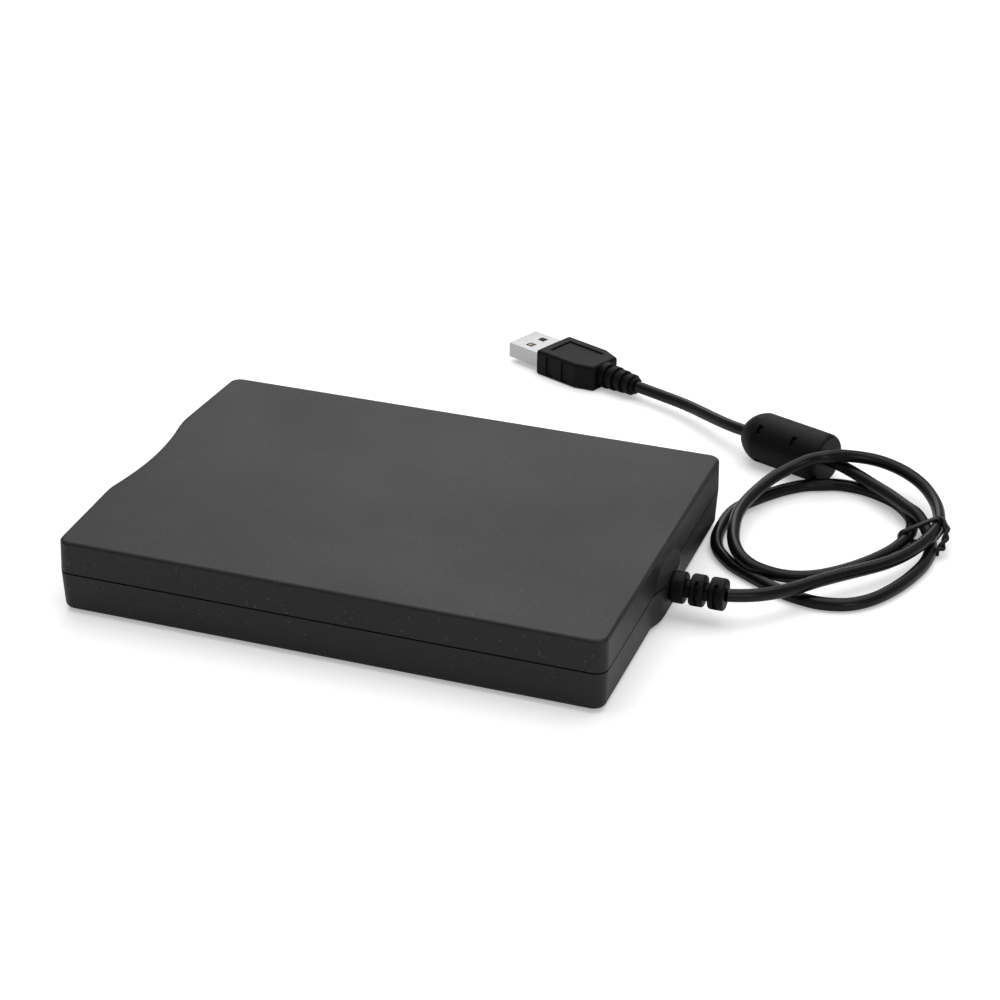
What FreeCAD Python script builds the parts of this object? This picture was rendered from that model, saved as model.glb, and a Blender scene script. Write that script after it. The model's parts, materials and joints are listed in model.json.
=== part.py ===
import FreeCAD, Part
import math
import os
import Sketcher
from FreeCAD import Placement, Rotation, Vector

# External 3.5 inch floppy disk drive with a captive lead, in millimetres.
# The slot faces -Y, the lead leaves at +Y, and the feet stand on Z = 0.

SIZES = [
    ("case_width", 105.0),
    ("case_length", 141.5),
    ("case_height", 19.0),
    ("foot_height", 0.8),
    ("wall", 2.0),
    ("skin", 1.8),
    ("parting_height", 11.1),
    ("parting_gap", 0.4),
    ("corner_radius", 3.2),
    ("top_fillet", 0.9),
    ("bottom_fillet", 1.3),
    ("upper_draft", 0.2),
    ("lower_draft", 0.45),
    ("bow", 1.2),
    ("scoop_depth", 2.2),
    ("horn_x", 24.0),
    ("boss_depth", 1.5),
    ("boss_foot", 13.0),
    ("window_half", 47.5),
    ("window_low", 5.2),
    ("window_high", 17.2),
    ("bezel_gap", 0.3),
    ("bezel_front", 1.1),
    ("bezel_thick", 2.3),
    ("slot_half", 45.7),
    ("slot_low", 10.6),
    ("slot_high", 15.4),
    ("button_x", 37.0),
    ("button_width", 12.0),
    ("button_low", 6.3),
    ("button_high", 9.7),
    ("button_gap", 0.3),
    ("eject_travel", 4.5),
    ("holder_drop", 2.2),
    ("disk_half", 45.6),
    ("sheet", 0.6),
    ("plate", 0.8),
    ("chassis_z", 5.4),
    ("chassis_side", 47.6),
    ("chassis_top", 15.0),
    ("chassis_front", 61.0),
    ("chassis_rear", 62.0),
    ("slider_side", 46.6),
    ("slider_z", 6.6),
    ("holder_lip_z", 10.0),
    ("holder_height", 5.6),
    ("pin_radius", 1.1),
    ("pin_front", -45.0),
    ("pin_rear", 18.0),
    ("pin_z", 12.8),
    ("spindle_y", -15.0),
    ("rotor_radius", 18.0),
    ("hub_radius", 11.0),
    ("shaft_radius", 1.98),
    ("head_y", 24.5),
    ("head_travel", 14.8),
    ("rod_x", 13.0),
    ("rod_z", 8.6),
    ("rod_radius", 1.2),
    ("run_gap", 0.05),
    ("screw_x", -14.0),
    ("screw_z", 10.4),
    ("screw_radius", 2.0),
    ("motor_radius", 5.8),
    ("motor_front", 48.6),
    ("motor_length", 12.3),
    ("arm_pivot_z", 11.2),
    ("arm_pivot_back", 29.0),
    ("lever_x", 41.0),
    ("lever_y", 34.0),
    ("lever_reach", 29.0),
    ("lever_angle", 226.4),
    ("lever_swing", 41.0),
    ("lever_pin", 2.4),
    ("flap_axis_y", -65.7),
    ("flap_axis_z", 16.1),
    ("board_z", 3.6),
    ("board_thick", 0.8),
    ("cord_radius", 1.7),
    ("relief_z", 8.0),
    ("relief_radius", 4.1),
    ("relief_length", 13.8),
    ("bead_radius", 7.1),
    ("bead_length", 26.7),
    ("coil_height", 8.2),
    ("plug_length", 45.2),
]

doc = FreeCAD.newDocument("FloppyDrive")
sheet = doc.addObject("Spreadsheet::Sheet", "Sizes")
for row, (alias, number) in enumerate(SIZES, start=1):
    sheet.set("A%d" % row, alias)
    sheet.set("B%d" % row, str(number))
    sheet.setAlias("B%d" % row, alias)
doc.recompute()


class Size:
    """A length from the sheet, with the expression that gives it."""

    def __init__(self, value, text):
        self.value = float(value)
        self.text = text

    def joined(self, other, sign, value):
        other_text = other.text if isinstance(other, Size) else repr(float(other))
        return Size(value, "(%s %s %s)" % (self.text, sign, other_text))

    def __float__(self):
        return self.value

    def __add__(self, other):
        return self.joined(other, "+", self.value + float(other))

    def __radd__(self, other):
        return Size(other, repr(float(other))) + self

    def __sub__(self, other):
        return self.joined(other, "-", self.value - float(other))

    def __rsub__(self, other):
        return Size(other, repr(float(other))) - self

    def __mul__(self, other):
        return self.joined(other, "*", self.value * float(other))

    __rmul__ = __mul__

    def __truediv__(self, other):
        return self.joined(other, "/", self.value / float(other))

    def __neg__(self):
        return Size(-self.value, "(0 - %s)" % self.text)


def size(name):
    return Size(float(sheet.get(name)), "Sizes." + name)


def bind(thing, path, value):
    if isinstance(value, Size):
        thing.setExpression(path, value.text)


nodes = {}


class Piece:
    """One body of the drive, built from prisms and turned forms in the drive's own frame."""

    planes = {"x": ("YZ_Plane", 1), "y": ("XZ_Plane", -1), "z": ("XY_Plane", 1)}

    def __init__(self, name):
        self.name = name
        self.body = doc.addObject("PartDesign::Body", name)
        self.body.Label = name
        self.count = 0
        nodes[name] = self.body

    def plane(self, axis):
        role = self.planes[axis][0]
        return next(item for item in self.body.Origin.OriginFeatures if item.Role == role)

    def sketch(self, axis, level):
        self.count += 1
        sketch = self.body.newObject("Sketcher::SketchObject", "%s_sketch%d" % (self.name, self.count))
        sketch.AttachmentSupport = (self.plane(axis), [""])
        sketch.MapMode = "FlatFace"
        offset = level * self.planes[axis][1]
        sketch.AttachmentOffset = Placement(Vector(0, 0, float(offset)), Rotation())
        bind(sketch, "AttachmentOffset.Base.z", offset)
        return sketch

    def feature(self, kind, sketch, tag):
        self.count += 1
        feature = self.body.newObject("PartDesign::" + kind, "%s_%s%d" % (self.name, tag, self.count))
        feature.Profile = sketch
        sketch.Visibility = False
        return feature

    def prism(self, axis, draw, low, high, cut=False):
        """Raise or cut a drawn profile from low to high along the axis."""
        forward = self.planes[axis][1] > 0
        level = low if forward != cut else high
        sketch = self.sketch(axis, level)
        draw(sketch)
        feature = self.feature("Pocket" if cut else "Pad", sketch, "cut" if cut else "pad")
        depth = high - low
        feature.Length = float(depth)
        bind(feature, "Length", depth)
        return feature

    def block(self, x, y, z, cut=False):
        return self.prism("z", rectangle(x, y), z[0], z[1], cut)

    def round(self, axis, centre, radius, low, high, cut=False):
        return self.prism(axis, circle(centre, radius), low, high, cut)

    def turned(self, points):
        """Turn a closed outline of (radius, height) points about the body's own Z axis."""
        sketch = self.sketch("y", 0.0)
        outline(points)(sketch)
        feature = self.feature("Revolution", sketch, "turn")
        feature.ReferenceAxis = (sketch, ["V_Axis"])
        feature.Angle = 360.0
        return feature

    def rounded(self, radius, chosen, kind="Fillet"):
        """Fillet or chamfer the edges that the test chooses."""
        doc.recompute()
        base = self.body.Tip
        names = ["Edge%d" % (i + 1) for i, edge in enumerate(base.Shape.Edges) if chosen(edge)]
        self.count += 1
        label = "%s_%s%d" % (self.name, kind.lower(), self.count)
        feature = self.body.newObject("PartDesign::" + kind, label)
        feature.Base = (base, names)
        path = "Radius" if kind == "Fillet" else "Size"
        setattr(feature, path, float(radius))
        bind(feature, path, radius)
        return feature

    def place(self, x=0.0, y=0.0, z=0.0, rotation=None):
        self.body.Placement = Placement(Vector(float(x), float(y), float(z)), rotation or Rotation())
        for path, value in (("x", x), ("y", y), ("z", z)):
            bind(self.body, "Placement.Base." + path, value)


def fix_point(sketch, geometry, point, u, v):
    for kind, value in (("DistanceX", u), ("DistanceY", v)):
        number = sketch.addConstraint(Sketcher.Constraint(kind, -1, 1, geometry, point, float(value)))
        bind(sketch, "Constraints[%d]" % number, value)


def outline(points):
    """A closed outline of straight edges through (u, v) points."""

    def draw(sketch):
        corners = [Vector(float(u), float(v), 0) for u, v in points]
        count = len(corners)
        first = sketch.GeometryCount
        for i in range(count):
            sketch.addGeometry(Part.LineSegment(corners[i], corners[(i + 1) % count]), False)
        for i in range(count):
            after = first + (i + 1) % count
            sketch.addConstraint(Sketcher.Constraint("Coincident", first + i, 2, after, 1))
        for i, (u, v) in enumerate(points):
            fix_point(sketch, first + i, 1, u, v)

    return draw


def rectangle(u, v):
    return outline([(u[0], v[0]), (u[1], v[0]), (u[1], v[1]), (u[0], v[1])])


def circle(centre, radius):
    def draw(sketch):
        middle = Vector(float(centre[0]), float(centre[1]), 0)
        number = sketch.addGeometry(Part.Circle(middle, Vector(0, 0, 1), float(radius)), False)
        fix_point(sketch, number, 3, centre[0], centre[1])
        index = sketch.addConstraint(Sketcher.Constraint("Radius", number, float(radius)))
        bind(sketch, "Constraints[%d]" % index, radius)

    return draw


def both(x):
    """The span from -x to +x."""
    return (-x, x)


def made(name, shape, placement=None):
    """A sub-part whose form is worked out by functions, kept under its own label."""
    item = doc.addObject("Part::Feature", name)
    item.Label = name
    item.Shape = shape
    if placement:
        item.Placement = placement
    nodes[name] = item
    return item


# Places worked out from the driving sizes
case_width = size("case_width")
case_length = size("case_length")
foot = size("foot_height")
wall = size("wall")
skin = size("skin")
total_length = case_length + size("bow") + size("boss_depth")
front_corner_y = size("bow") - total_length / 2
rear_wall_y = total_length / 2 - size("boss_depth")
case_top = foot + size("case_height")
floor_top = foot + skin
roof_low = case_top - skin
parting = size("parting_height")
gap = size("parting_gap")
run_gap = size("run_gap")
plate = size("plate")
thin = size("sheet")


# The front scoop's bell curve: places along the horn's half width, and depths as shares of the scoop's
SCOOP = ((0.79, 0.14), (0.575, 0.52), (0.333, 0.84), (0.15, 0.97))


def outline_wire(inset, level):
    """The case's plan outline, moved in by an inset, at a height."""
    half = float(case_width) / 2 - inset
    rear = float(rear_wall_y) - inset
    front = float(front_corner_y) + inset
    horn = float(size("horn_x"))
    horn_y = front - float(size("bow"))
    scoop_y = horn_y + float(size("scoop_depth"))
    corners = [Vector(horn, horn_y, level), Vector(half, front, level), Vector(half, rear, level),
               Vector(-half, rear, level), Vector(-half, front, level), Vector(-horn, horn_y, level)]
    edges = [Part.LineSegment(a, b).toShape() for a, b in zip(corners, corners[1:])]
    dip = scoop_y - horn_y
    left = [Vector(-horn * along, horn_y + dip * share, level) for along, share in SCOOP]
    right = [Vector(-point.x, point.y, level) for point in reversed(left)]
    curve = Part.BSplineCurve()
    curve.interpolate(Points=[corners[-1]] + left + [Vector(0, scoop_y, level)] + right + [corners[0]],
                      InitialTangent=corners[-1] - corners[-2], FinalTangent=corners[1] - corners[0])
    edges.append(curve.toShape())
    return Part.Wire(edges)


def upright(shape, test):
    """The shape's near-vertical edges that the test accepts, by their middle point."""
    found = []
    for edge in shape.Edges:
        box = edge.BoundBox
        if box.ZLength > 2 and box.XLength < 1.5 and box.YLength < 1.5 and test(box.Center):
            found.append(edge)
    return found


def level_edges(shape, level):
    return [edge for edge in shape.Edges
            if edge.BoundBox.ZLength < 0.001 and abs(edge.BoundBox.Center.z - level) < 0.001]


def drafted_case(low_inset, low, high_inset, high, radius):
    """The case's outline between two heights, with rounded corners."""
    body = Part.makeLoft([outline_wire(low_inset, low), outline_wire(high_inset, high)], True, True)
    corner = float(case_width) / 2 - 5
    return body.makeFillet(radius, upright(body, lambda p: abs(p.x) > corner))


def hollow_case(low, high):
    """The straight hollow inside the walls."""
    inset = float(wall)
    radius = float(size("corner_radius")) - inset
    return drafted_case(inset, low, inset, high, radius)


def box(x, y, z):
    (x0, x1), (y0, y1), (z0, z1) = [(float(a), float(b)) for a, b in (x, y, z)]
    return Part.makeBox(x1 - x0, y1 - y0, z1 - z0, Vector(x0, y0, z0))


def cylinder(radius, centre, direction, length):
    return Part.makeCylinder(float(radius), float(length), Vector(*[float(c) for c in centre]), direction)


UP = Vector(0, 0, 1)
BACK = Vector(0, 1, 0)
ACROSS = Vector(1, 0, 0)

window_half = size("window_half")
window = box(both(window_half), (front_corner_y - 5, front_corner_y + 8),
             (size("window_low"), size("window_high")))


# The rear swelling's profile: places as shares of its half width, and heights as shares of its depth
SWELL = ((0.81, 0.24), (0.62, 0.74), (0.42, 0.965))
SWELL_ROOT = 0.15


def cord_boss(low, high, inset):
    """The swelling of the rear wall round the cord's strain relief, set in by an inset at each end."""
    rear = float(rear_wall_y)
    deep = float(size("boss_depth"))
    spread = float(size("boss_foot"))

    def profile(level, inward):
        wall_y = rear - inward
        left = [Vector(-spread, wall_y - SWELL_ROOT, level)]
        left += [Vector(-spread * along, wall_y + deep * share, level) for along, share in SWELL]
        right = [Vector(-point.x, point.y, level) for point in reversed(left)]
        curve = Part.BSplineCurve()
        curve.interpolate(Points=left + [Vector(0, wall_y + deep, level)] + right,
                          InitialTangent=Vector(1, SWELL_ROOT, 0), FinalTangent=Vector(1, -SWELL_ROOT, 0))
        root = [Vector(x, wall_y - deep, level) for x in (spread, -spread)]
        return Part.Wire([curve.toShape()] + Part.makePolygon([right[-1]] + root + [left[0]]).Edges)

    return Part.makeLoft([profile(low, inset[0]), profile(high, inset[1])], True, True)


relief_z = size("relief_z")
relief_radius = size("relief_radius")
gland_radius = float(relief_radius) - 1.2
foot_x = 42.0
foot_y = (-42.0, 52.0)
foot_radius = 4.0
board_supports = [(-30.0, 64.7, 3.0), (30.0, 64.7, 3.0), (38.0, 56.0, 3.6), (0.0, 22.0, 3.6)]
case_screw_x = 45.0
case_screw_y = (65.4,)
hook_y = (-46.0, 10.0)
mech_screw_y = (-52.0, 44.0)
mech_screw_x = 45.2


def top_cover():
    low = float(parting) + float(gap) / 2
    high = float(case_top)
    inset = float(size("upper_draft"))
    shell = drafted_case(0.0, low, inset, high, float(size("corner_radius")))
    boss_high = high - float(size("top_fillet")) - 2.6
    shell = shell.fuse(cord_boss(low, boss_high, (0.0, float(size("boss_depth")) + 0.4))).removeSplitter()
    shell = shell.makeFillet(float(size("top_fillet")), level_edges(shell, high))
    shell = shell.cut(hollow_case(low - 1, float(roof_low)))
    rabbet = drafted_case(1.0, low - 1, 1.0, low + 1.4, float(size("corner_radius")) - 1.0)
    shell = shell.cut(rabbet).cut(window)
    posts = []
    for x in (-case_screw_x, case_screw_x):
        for y in case_screw_y:
            reach = float(roof_low) - low
            post = cylinder(2.6, (x, y, low), UP, reach + 0.2)
            posts.append(post)
    hooks = []
    for y in hook_y:
        for x in ((49.3, 50.1), (-50.1, -49.3)):
            hooks.append(box(x, (y - 3, y + 3), (8.7, float(roof_low) + 0.2)))
        for x in ((49.9, 50.4), (-50.4, -49.9)):
            hooks.append(box(x, (y - 3, y + 3), (8.7, 9.4)))
    ribs = [box((-30 + 20 * i, -29.2 + 20 * i), (-50, 50), (float(roof_low) - 0.3, float(roof_low) + 0.2))
            for i in range(4)]
    shell = shell.multiFuse(posts + ribs + hooks)
    for x in (-case_screw_x, case_screw_x):
        for y in case_screw_y:
            shell = shell.cut(cylinder(0.9, (x, y, low - 0.1), UP, 5.0))
    gland = cylinder(gland_radius + 0.1, (0, float(rear_wall_y) - 6, float(relief_z)), BACK, 12)
    return shell.cut(gland).removeSplitter()


def bottom_cover():
    low = float(foot)
    high = float(parting) - float(gap) / 2
    inset = float(size("lower_draft"))
    shell = drafted_case(inset, low, 0.0, high, float(size("corner_radius")))
    shell = shell.fuse(cord_boss(low, high, (inset, 0.0))).removeSplitter()
    shell = shell.makeFillet(float(size("bottom_fillet")), level_edges(shell, low))
    inner = hollow_case(float(floor_top), high + 3)
    tongue = drafted_case(1.1, high - 1, 1.1, high + 1.6, float(size("corner_radius")) - 1.1)
    shell = shell.fuse(tongue).cut(inner).cut(window)
    posts = []
    for x in (-case_screw_x, case_screw_x):
        for y in case_screw_y:
            posts.append(cylinder(3.0, (x, y, low + 0.5), UP, high + float(gap) - low - 0.5))
    for x in (-mech_screw_x, mech_screw_x):
        for y in mech_screw_y:
            posts.append(cylinder(2.0, (x, y, low + 0.5), UP, float(size("chassis_z")) - low - 0.5))
    for x, y, top in board_supports:
        posts.append(cylinder(1.8, (x, y, low + 0.5), UP, top - low - 0.5))
    for y in hook_y:
        for x in ((50.2, 51.0), (-51.0, -50.2)):
            posts.append(box(x, (y - 3.5, y + 3.5), (9.5, 10.3)))
    shell = shell.multiFuse(posts)
    cuts = []
    for x in (-case_screw_x, case_screw_x):
        for y in case_screw_y:
            cuts.append(cylinder(1.2, (x, y, low - 1), UP, 14))
            cuts.append(cylinder(2.2, (x, y, low - 1), UP, 5.5))
    for x in (-mech_screw_x, mech_screw_x):
        for y in mech_screw_y:
            cuts.append(cylinder(0.8, (x, y, low + 1.0), UP, 8))
    for x in (-foot_x, foot_x):
        for y in foot_y:
            cuts.append(cylinder(foot_radius + 0.1, (x, y, low - 1), UP, 1.5))
    gland = cylinder(gland_radius + 0.1, (0, float(rear_wall_y) - 6, float(relief_z)), BACK, 12)
    cuts.append(gland)
    for cutter in cuts:
        shell = shell.cut(cutter)
    return shell.removeSplitter()


made("top_cover", top_cover())
made("bottom_cover", bottom_cover())

# Rubber feet, each a domed pad glued in a shallow recess
feet = []
for x in (-foot_x, foot_x):
    for y in foot_y:
        pad = cylinder(foot_radius, (x, y, 0), UP, float(foot) + 0.5)
        feet.append(pad.makeFillet(0.35, level_edges(pad, 0)))
made("rubber_feet", Part.makeCompound(feet))


def screw(head_radius, head_height, shank_radius, length):
    """A pan-head screw with a cross recess, head up, its seat at Z = 0."""
    head = Part.makeCylinder(head_radius, head_height)
    head = head.makeFillet(head_height * 0.4, level_edges(head, head_height))
    body = head.fuse(Part.makeCylinder(shank_radius, length, Vector(0, 0, -length)))
    slot = box((-head_radius * 0.6, head_radius * 0.6), (-0.2, 0.2), (head_height * 0.4, head_height + 1))
    turned_slot = slot.copy()
    turned_slot.rotate(Vector(), UP, 90)
    return body.cut(slot).cut(turned_slot)


def screws(name, places, head_radius, head_height, shank_radius, length, seat, upside_down=False):
    items = []
    for x, y in places:
        item = screw(head_radius, head_height, shank_radius, length)
        if upside_down:
            item.rotate(Vector(), ACROSS, 180)
        item.translate(Vector(x, y, float(seat)))
        items.append(item)
    made(name, Part.makeCompound(items))


case_screw_seat = float(foot) + 4.5
screws("case_screws", [(x, y) for x in (-case_screw_x, case_screw_x) for y in case_screw_y],
       2.0, 1.2, 0.85, 9.0, case_screw_seat, upside_down=True)

# Front bezel with the disk slot, the button's opening and the lamp's hole
bezel_front_y = front_corner_y - size("bow") + size("scoop_depth") + size("bezel_front")
bezel_back_y = bezel_front_y + size("bezel_thick")
bezel_gap = size("bezel_gap")
slot_z = (size("slot_low"), size("slot_high"))
button_half = size("button_width") / 2
button_x = size("button_x")
button_gap = size("button_gap")
lamp_x = -38.0
lamp_z = 8.4

bezel = Piece("front_bezel")
bezel.prism("y", rectangle(both(window_half - bezel_gap),
                           (size("window_low") + bezel_gap, size("window_high") - bezel_gap)),
            bezel_front_y, bezel_back_y)
bezel.prism("y", rectangle(both(size("slot_half")), slot_z), bezel_front_y - 1, bezel_back_y + 1, cut=True)
bezel.prism("y", rectangle((button_x - button_half - button_gap, button_x + button_half + button_gap),
                           (size("button_low") - button_gap, size("button_high") + button_gap)),
            bezel_front_y - 1, bezel_back_y + 1, cut=True)
bezel.prism("y", rectangle((lamp_x - 2.05, lamp_x + 2.05), (lamp_z - 0.85, lamp_z + 0.85)),
            bezel_front_y - 1, bezel_back_y + 1, cut=True)
# A shallow recess for the fingertip that pushes the disk home
bezel.prism("y", rectangle((-13.0, 13.0), (size("slot_low") - 1.6, size("slot_high") + 1.0)),
            bezel_front_y - 1, bezel_front_y + 0.9, cut=True)
# Ears that carry the flap's pivots, and hooks down to the chassis
flap_y = size("flap_axis_y")
flap_z = size("flap_axis_z")
ear_in = size("slot_half") + 0.5
for low, high in ((ear_in, ear_in + 1.0), (-ear_in - 1.0, -ear_in)):
    bezel.prism("x", rectangle((bezel_back_y - 0.2, flap_y + 1.4), (flap_z - 1.2, flap_z + 0.8)), low, high)
bezel.round("x", (flap_y, flap_z), 0.6, -ear_in - 2.0, ear_in + 2.0, cut=True)

# Dust flap behind the slot, hung from its top edge
flap = Piece("slot_flap")
flap_half = ear_in - 0.3
flap.prism("y", rectangle(both(flap_half), (size("slot_low") - 0.3, flap_z)), flap_y - 0.5, flap_y + 0.3)
flap.round("x", (flap_y, flap_z), 0.8, -flap_half, flap_half)
flap.round("x", (flap_y, flap_z), 0.55, -ear_in - 0.9, ear_in + 0.9)

# Eject button
button = Piece("eject_button")
button_front_y = bezel_front_y - 0.5
slider_front_y = -61.5
slider_z = size("slider_z")
button.prism("y", rectangle((button_x - button_half, button_x + button_half),
                            (size("button_low"), size("button_high"))),
             button_front_y, slider_front_y)
button.rounded(0.4, lambda edge: abs(edge.BoundBox.YMax - float(button_front_y)) < 0.01)

# Eject slider: a tray round the disk holder whose ramps raise and lower it
slider_side = size("slider_side")
pin_z = size("pin_z")
pin_radius = size("pin_radius")
ramp_clear = pin_radius + 0.12
drop = size("holder_drop")
travel = size("eject_travel")
slider = Piece("eject_slider")
slider.block(both(slider_side + thin), (slider_front_y, -57.0), (slider_z, slider_z + thin))
rail_rear = 27.0
for sign in (-1, 1):
    inner = 43.2 * sign
    outer = (slider_side + thin) * sign
    wall_in = slider_side * sign
    rail = (inner, outer) if sign > 0 else (outer, inner)
    side = (wall_in, outer) if sign > 0 else (outer, wall_in)
    slider.block(rail, (-57.2, rail_rear), (slider_z, slider_z + thin))
    slider.block(side, (-52.0, rail_rear), (slider_z, 14.6))


def ramp(pin_y):
    """An inclined slot that the holder's pin follows as the slider travels."""
    length = math.hypot(float(travel), float(drop))
    along = (float(travel) / length, -float(drop) / length)
    across = (-along[1], along[0])
    reach = float(ramp_clear)
    start = (float(pin_y) - along[0] * reach, float(pin_z) - along[1] * reach)
    end = (start[0] + along[0] * (length + 2 * reach), start[1] + along[1] * (length + 2 * reach))
    low = [(start[0] - across[0] * reach, start[1] - across[1] * reach),
           (end[0] - across[0] * reach, end[1] - across[1] * reach)]
    high = [(end[0] + across[0] * reach, end[1] + across[1] * reach),
            (start[0] + across[0] * reach, start[1] + across[1] * reach)]
    return outline(low + high)


for pin_y in (size("pin_front"), size("pin_rear")):
    for low, high in ((-slider_side - 1.5, -slider_side + 0.3), (slider_side - 0.3, slider_side + 1.5)):
        slider.prism("x", ramp(pin_y), low, high, cut=True)
# Slots for the guide studs that hold the slider down
stud_y = (-30.0, 5.0)
for sign in (-1, 1):
    for y in stud_y:
        slider.block((sign * 45.0 - 1.0, sign * 45.0 + 1.0), (y - 1.3, y + 1.3 + travel),
                     (slider_z - 0.5, slider_z + thin + 0.5), cut=True)
# Tabs that the eject springs pull forward
spring_x = 38.6
spring_z = 7.35
spring_front = -20.0
spring_rear = 6.0
spring_hook = (37.6, 40.4)
for sign in (-1, 1):
    x = (37.6, 43.4) if sign > 0 else (-43.4, -37.6)
    hook = (spring_hook[0], spring_hook[1]) if sign > 0 else (-spring_hook[1], -spring_hook[0])
    slider.block(hook, (spring_rear, spring_rear + 0.8), (slider_z, slider_z + 1.5))
    slider.block(x, (spring_rear, spring_rear + 3.0), (slider_z, slider_z + thin))
# Bar that the button is pressed on
slider.block((button_x - 4.0, button_x + 4.0), (slider_front_y, slider_front_y + 1.0),
             (slider_z, size("button_high") - 0.4))

guides = []
for sign in (-1, 1):
    for y in stud_y:
        post = cylinder(0.8, (sign * 45.0, y, float(size("chassis_z")) + float(plate)), UP, 1.5)
        head = cylinder(1.5, (sign * 45.0, y, float(slider_z) + float(thin) + 0.1), UP, 0.4)
        guides.append(post.fuse(head))
made("slider_guides", Part.makeCompound(guides))

# Disk holder: a folded sheet channel with lips that carry the disk's edges
holder = Piece("disk_holder")
lip_z = size("holder_lip_z")
holder_top = lip_z + size("holder_height")
disk_half = size("disk_half")
holder_outer = disk_half + thin
holder_front_y = -59.5
holder_rear_y = 30.0
holder.prism("y", outline([(-holder_outer, lip_z), (-41.0, lip_z), (-41.0, lip_z + thin),
                           (-disk_half, lip_z + thin), (-disk_half, holder_top - thin),
                           (disk_half, holder_top - thin), (disk_half, lip_z + thin),
                           (41.0, lip_z + thin), (41.0, lip_z), (holder_outer, lip_z),
                           (holder_outer, holder_top), (-holder_outer, holder_top)]),
             holder_front_y, holder_rear_y)
holder.block(both(44.0), (holder_rear_y - 0.2, 42.0), (holder_top - thin, holder_top))
# Stops at the rear of the disk's path, folded down from the top plate
for sign in (-1, 1):
    x = (26.0, 34.0) if sign > 0 else (-34.0, -26.0)
    holder.block(x, (holder_rear_y + 0.4, holder_rear_y + 0.4 + thin), (lip_z + 2.0, holder_top - 0.1))
# Window for the upper head's arm
holder.block(both(9.0), (2.0, 43.0), (holder_top - 2, holder_top + 1), cut=True)
# Clearance over the spindle and lightening holes
holder.round("z", (0.0, size("spindle_y")), 13.0, holder_top - 2, holder_top + 1, cut=True)
for x in (-30.0, 30.0):
    holder.block((x - 8.0, x + 8.0), (-46.0, -22.0), (holder_top - 2, holder_top + 1), cut=True)
# Lips stop short of the switches at the front corners
for sign in (-1, 1):
    x = (38.0, 44.4) if sign > 0 else (-44.4, -38.0)
    holder.block(x, (-60.0, -46.5), (lip_z - 1, lip_z + thin + 0.2), cut=True)

lever_x = size("lever_x")
lever_y = size("lever_y")
lever_reach = size("lever_reach")
lever_angle = float(size("lever_angle"))
lever_swing = float(size("lever_swing"))


def arc_slot(start, end, half):
    """A curved slot about the lever's pivot for the lever's pin."""

    def draw(sketch):
        centre = Vector(float(lever_x), float(lever_y), 0)
        reach = float(lever_reach)

        def at(radius, angle):
            turn = math.radians(angle)
            return centre + Vector(radius * math.cos(turn), radius * math.sin(turn), 0)

        middle = (start + end) / 2
        tip = math.degrees(half / reach)
        low, high = min(start, end), max(start, end)
        outer = Part.Arc(at(reach + half, low), at(reach + half, middle), at(reach + half, high))
        cap = Part.Arc(at(reach + half, high), at(reach, high + tip), at(reach - half, high))
        inner = Part.Arc(at(reach - half, high), at(reach - half, middle), at(reach - half, low))
        cup = Part.Arc(at(reach - half, low), at(reach, low - tip), at(reach + half, low))
        for curve in (outer, cap, inner, cup):
            sketch.addGeometry(curve, False)

    return draw


pin_slot = arc_slot(lever_angle, lever_angle - lever_swing, 1.7)
holder.prism("z", pin_slot, holder_top - 2, holder_top + 1, cut=True)
# Pivot post of the shutter lever
holder.round("z", (lever_x, lever_y), 1.2, holder_top - 0.1, holder_top + 1.35)
# Pins that ride in the slider's ramps and the chassis's upright slots
for pin_y in (size("pin_front"), size("pin_rear")):
    holder.round("x", (pin_y, pin_z), pin_radius, holder_outer - 0.3, holder_outer + 2.3)
    holder.round("x", (pin_y, pin_z), pin_radius, -holder_outer - 2.3, -holder_outer + 0.3)

# Shutter lever, swung aside by the incoming disk
lever = Piece("shutter_lever")
lever_low = 0.2
lever.round("z", (0.0, 0.0), 2.6, lever_low, lever_low + thin)
lever.prism("z", outline([(0.0, -2.0), (lever_reach, -1.3), (lever_reach, 1.3), (0.0, 2.0)]),
            lever_low, lever_low + thin)
lever.round("z", (lever_reach, 0.0), 1.3, -size("lever_pin"), lever_low + thin)
lever.round("z", (0.0, 0.0), 1.2 + run_gap, lever_low - 1, lever_low + 2, cut=True)
lever.place(lever_x, lever_y, holder_top, Rotation(UP, lever_angle))

spring_ring = cylinder(2.1, (lever_x, lever_y, float(holder_top) + 0.9), UP, 0.4)
spring_ring = spring_ring.cut(cylinder(1.3, (lever_x, lever_y, float(holder_top)), UP, 3))
spring_leg = box((float(lever_x) + 1.7, float(lever_x) + 4.5), (float(lever_y) + 1.0, float(lever_y) + 1.4),
                 (float(holder_top) + 0.9, float(holder_top) + 1.3))
made("lever_spring", spring_ring.fuse(spring_leg))

# Chassis: a stamped pan with side walls that guide the holder straight up and down
chassis_z = size("chassis_z")
chassis_side = size("chassis_side")
chassis_top_z = size("chassis_top")
chassis_y = (-size("chassis_front"), size("chassis_rear"))
chassis = Piece("drive_chassis")
chassis.block(both(chassis_side + plate), chassis_y, (chassis_z, chassis_z + plate))
for sign in (-1, 1):
    inner = chassis_side * sign
    outer = (chassis_side + plate) * sign
    side = (inner, outer) if sign > 0 else (outer, inner)
    chassis.block(side, chassis_y, (chassis_z, chassis_top_z))
for pin_y in (size("pin_front"), size("pin_rear")):
    guide = rectangle((pin_y - pin_radius - 0.1, pin_y + pin_radius + 0.1),
                      (pin_z - drop - pin_radius - 0.2, pin_z + pin_radius + 0.2))
    for low, high in ((-chassis_side - 2, -chassis_side + 0.3), (chassis_side - 0.3, chassis_side + 2)):
        chassis.prism("x", guide, low, high, cut=True)
spindle_y = size("spindle_y")
chassis.round("z", (0.0, spindle_y), 3.2, chassis_z - 1, chassis_z + 2, cut=True)
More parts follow.
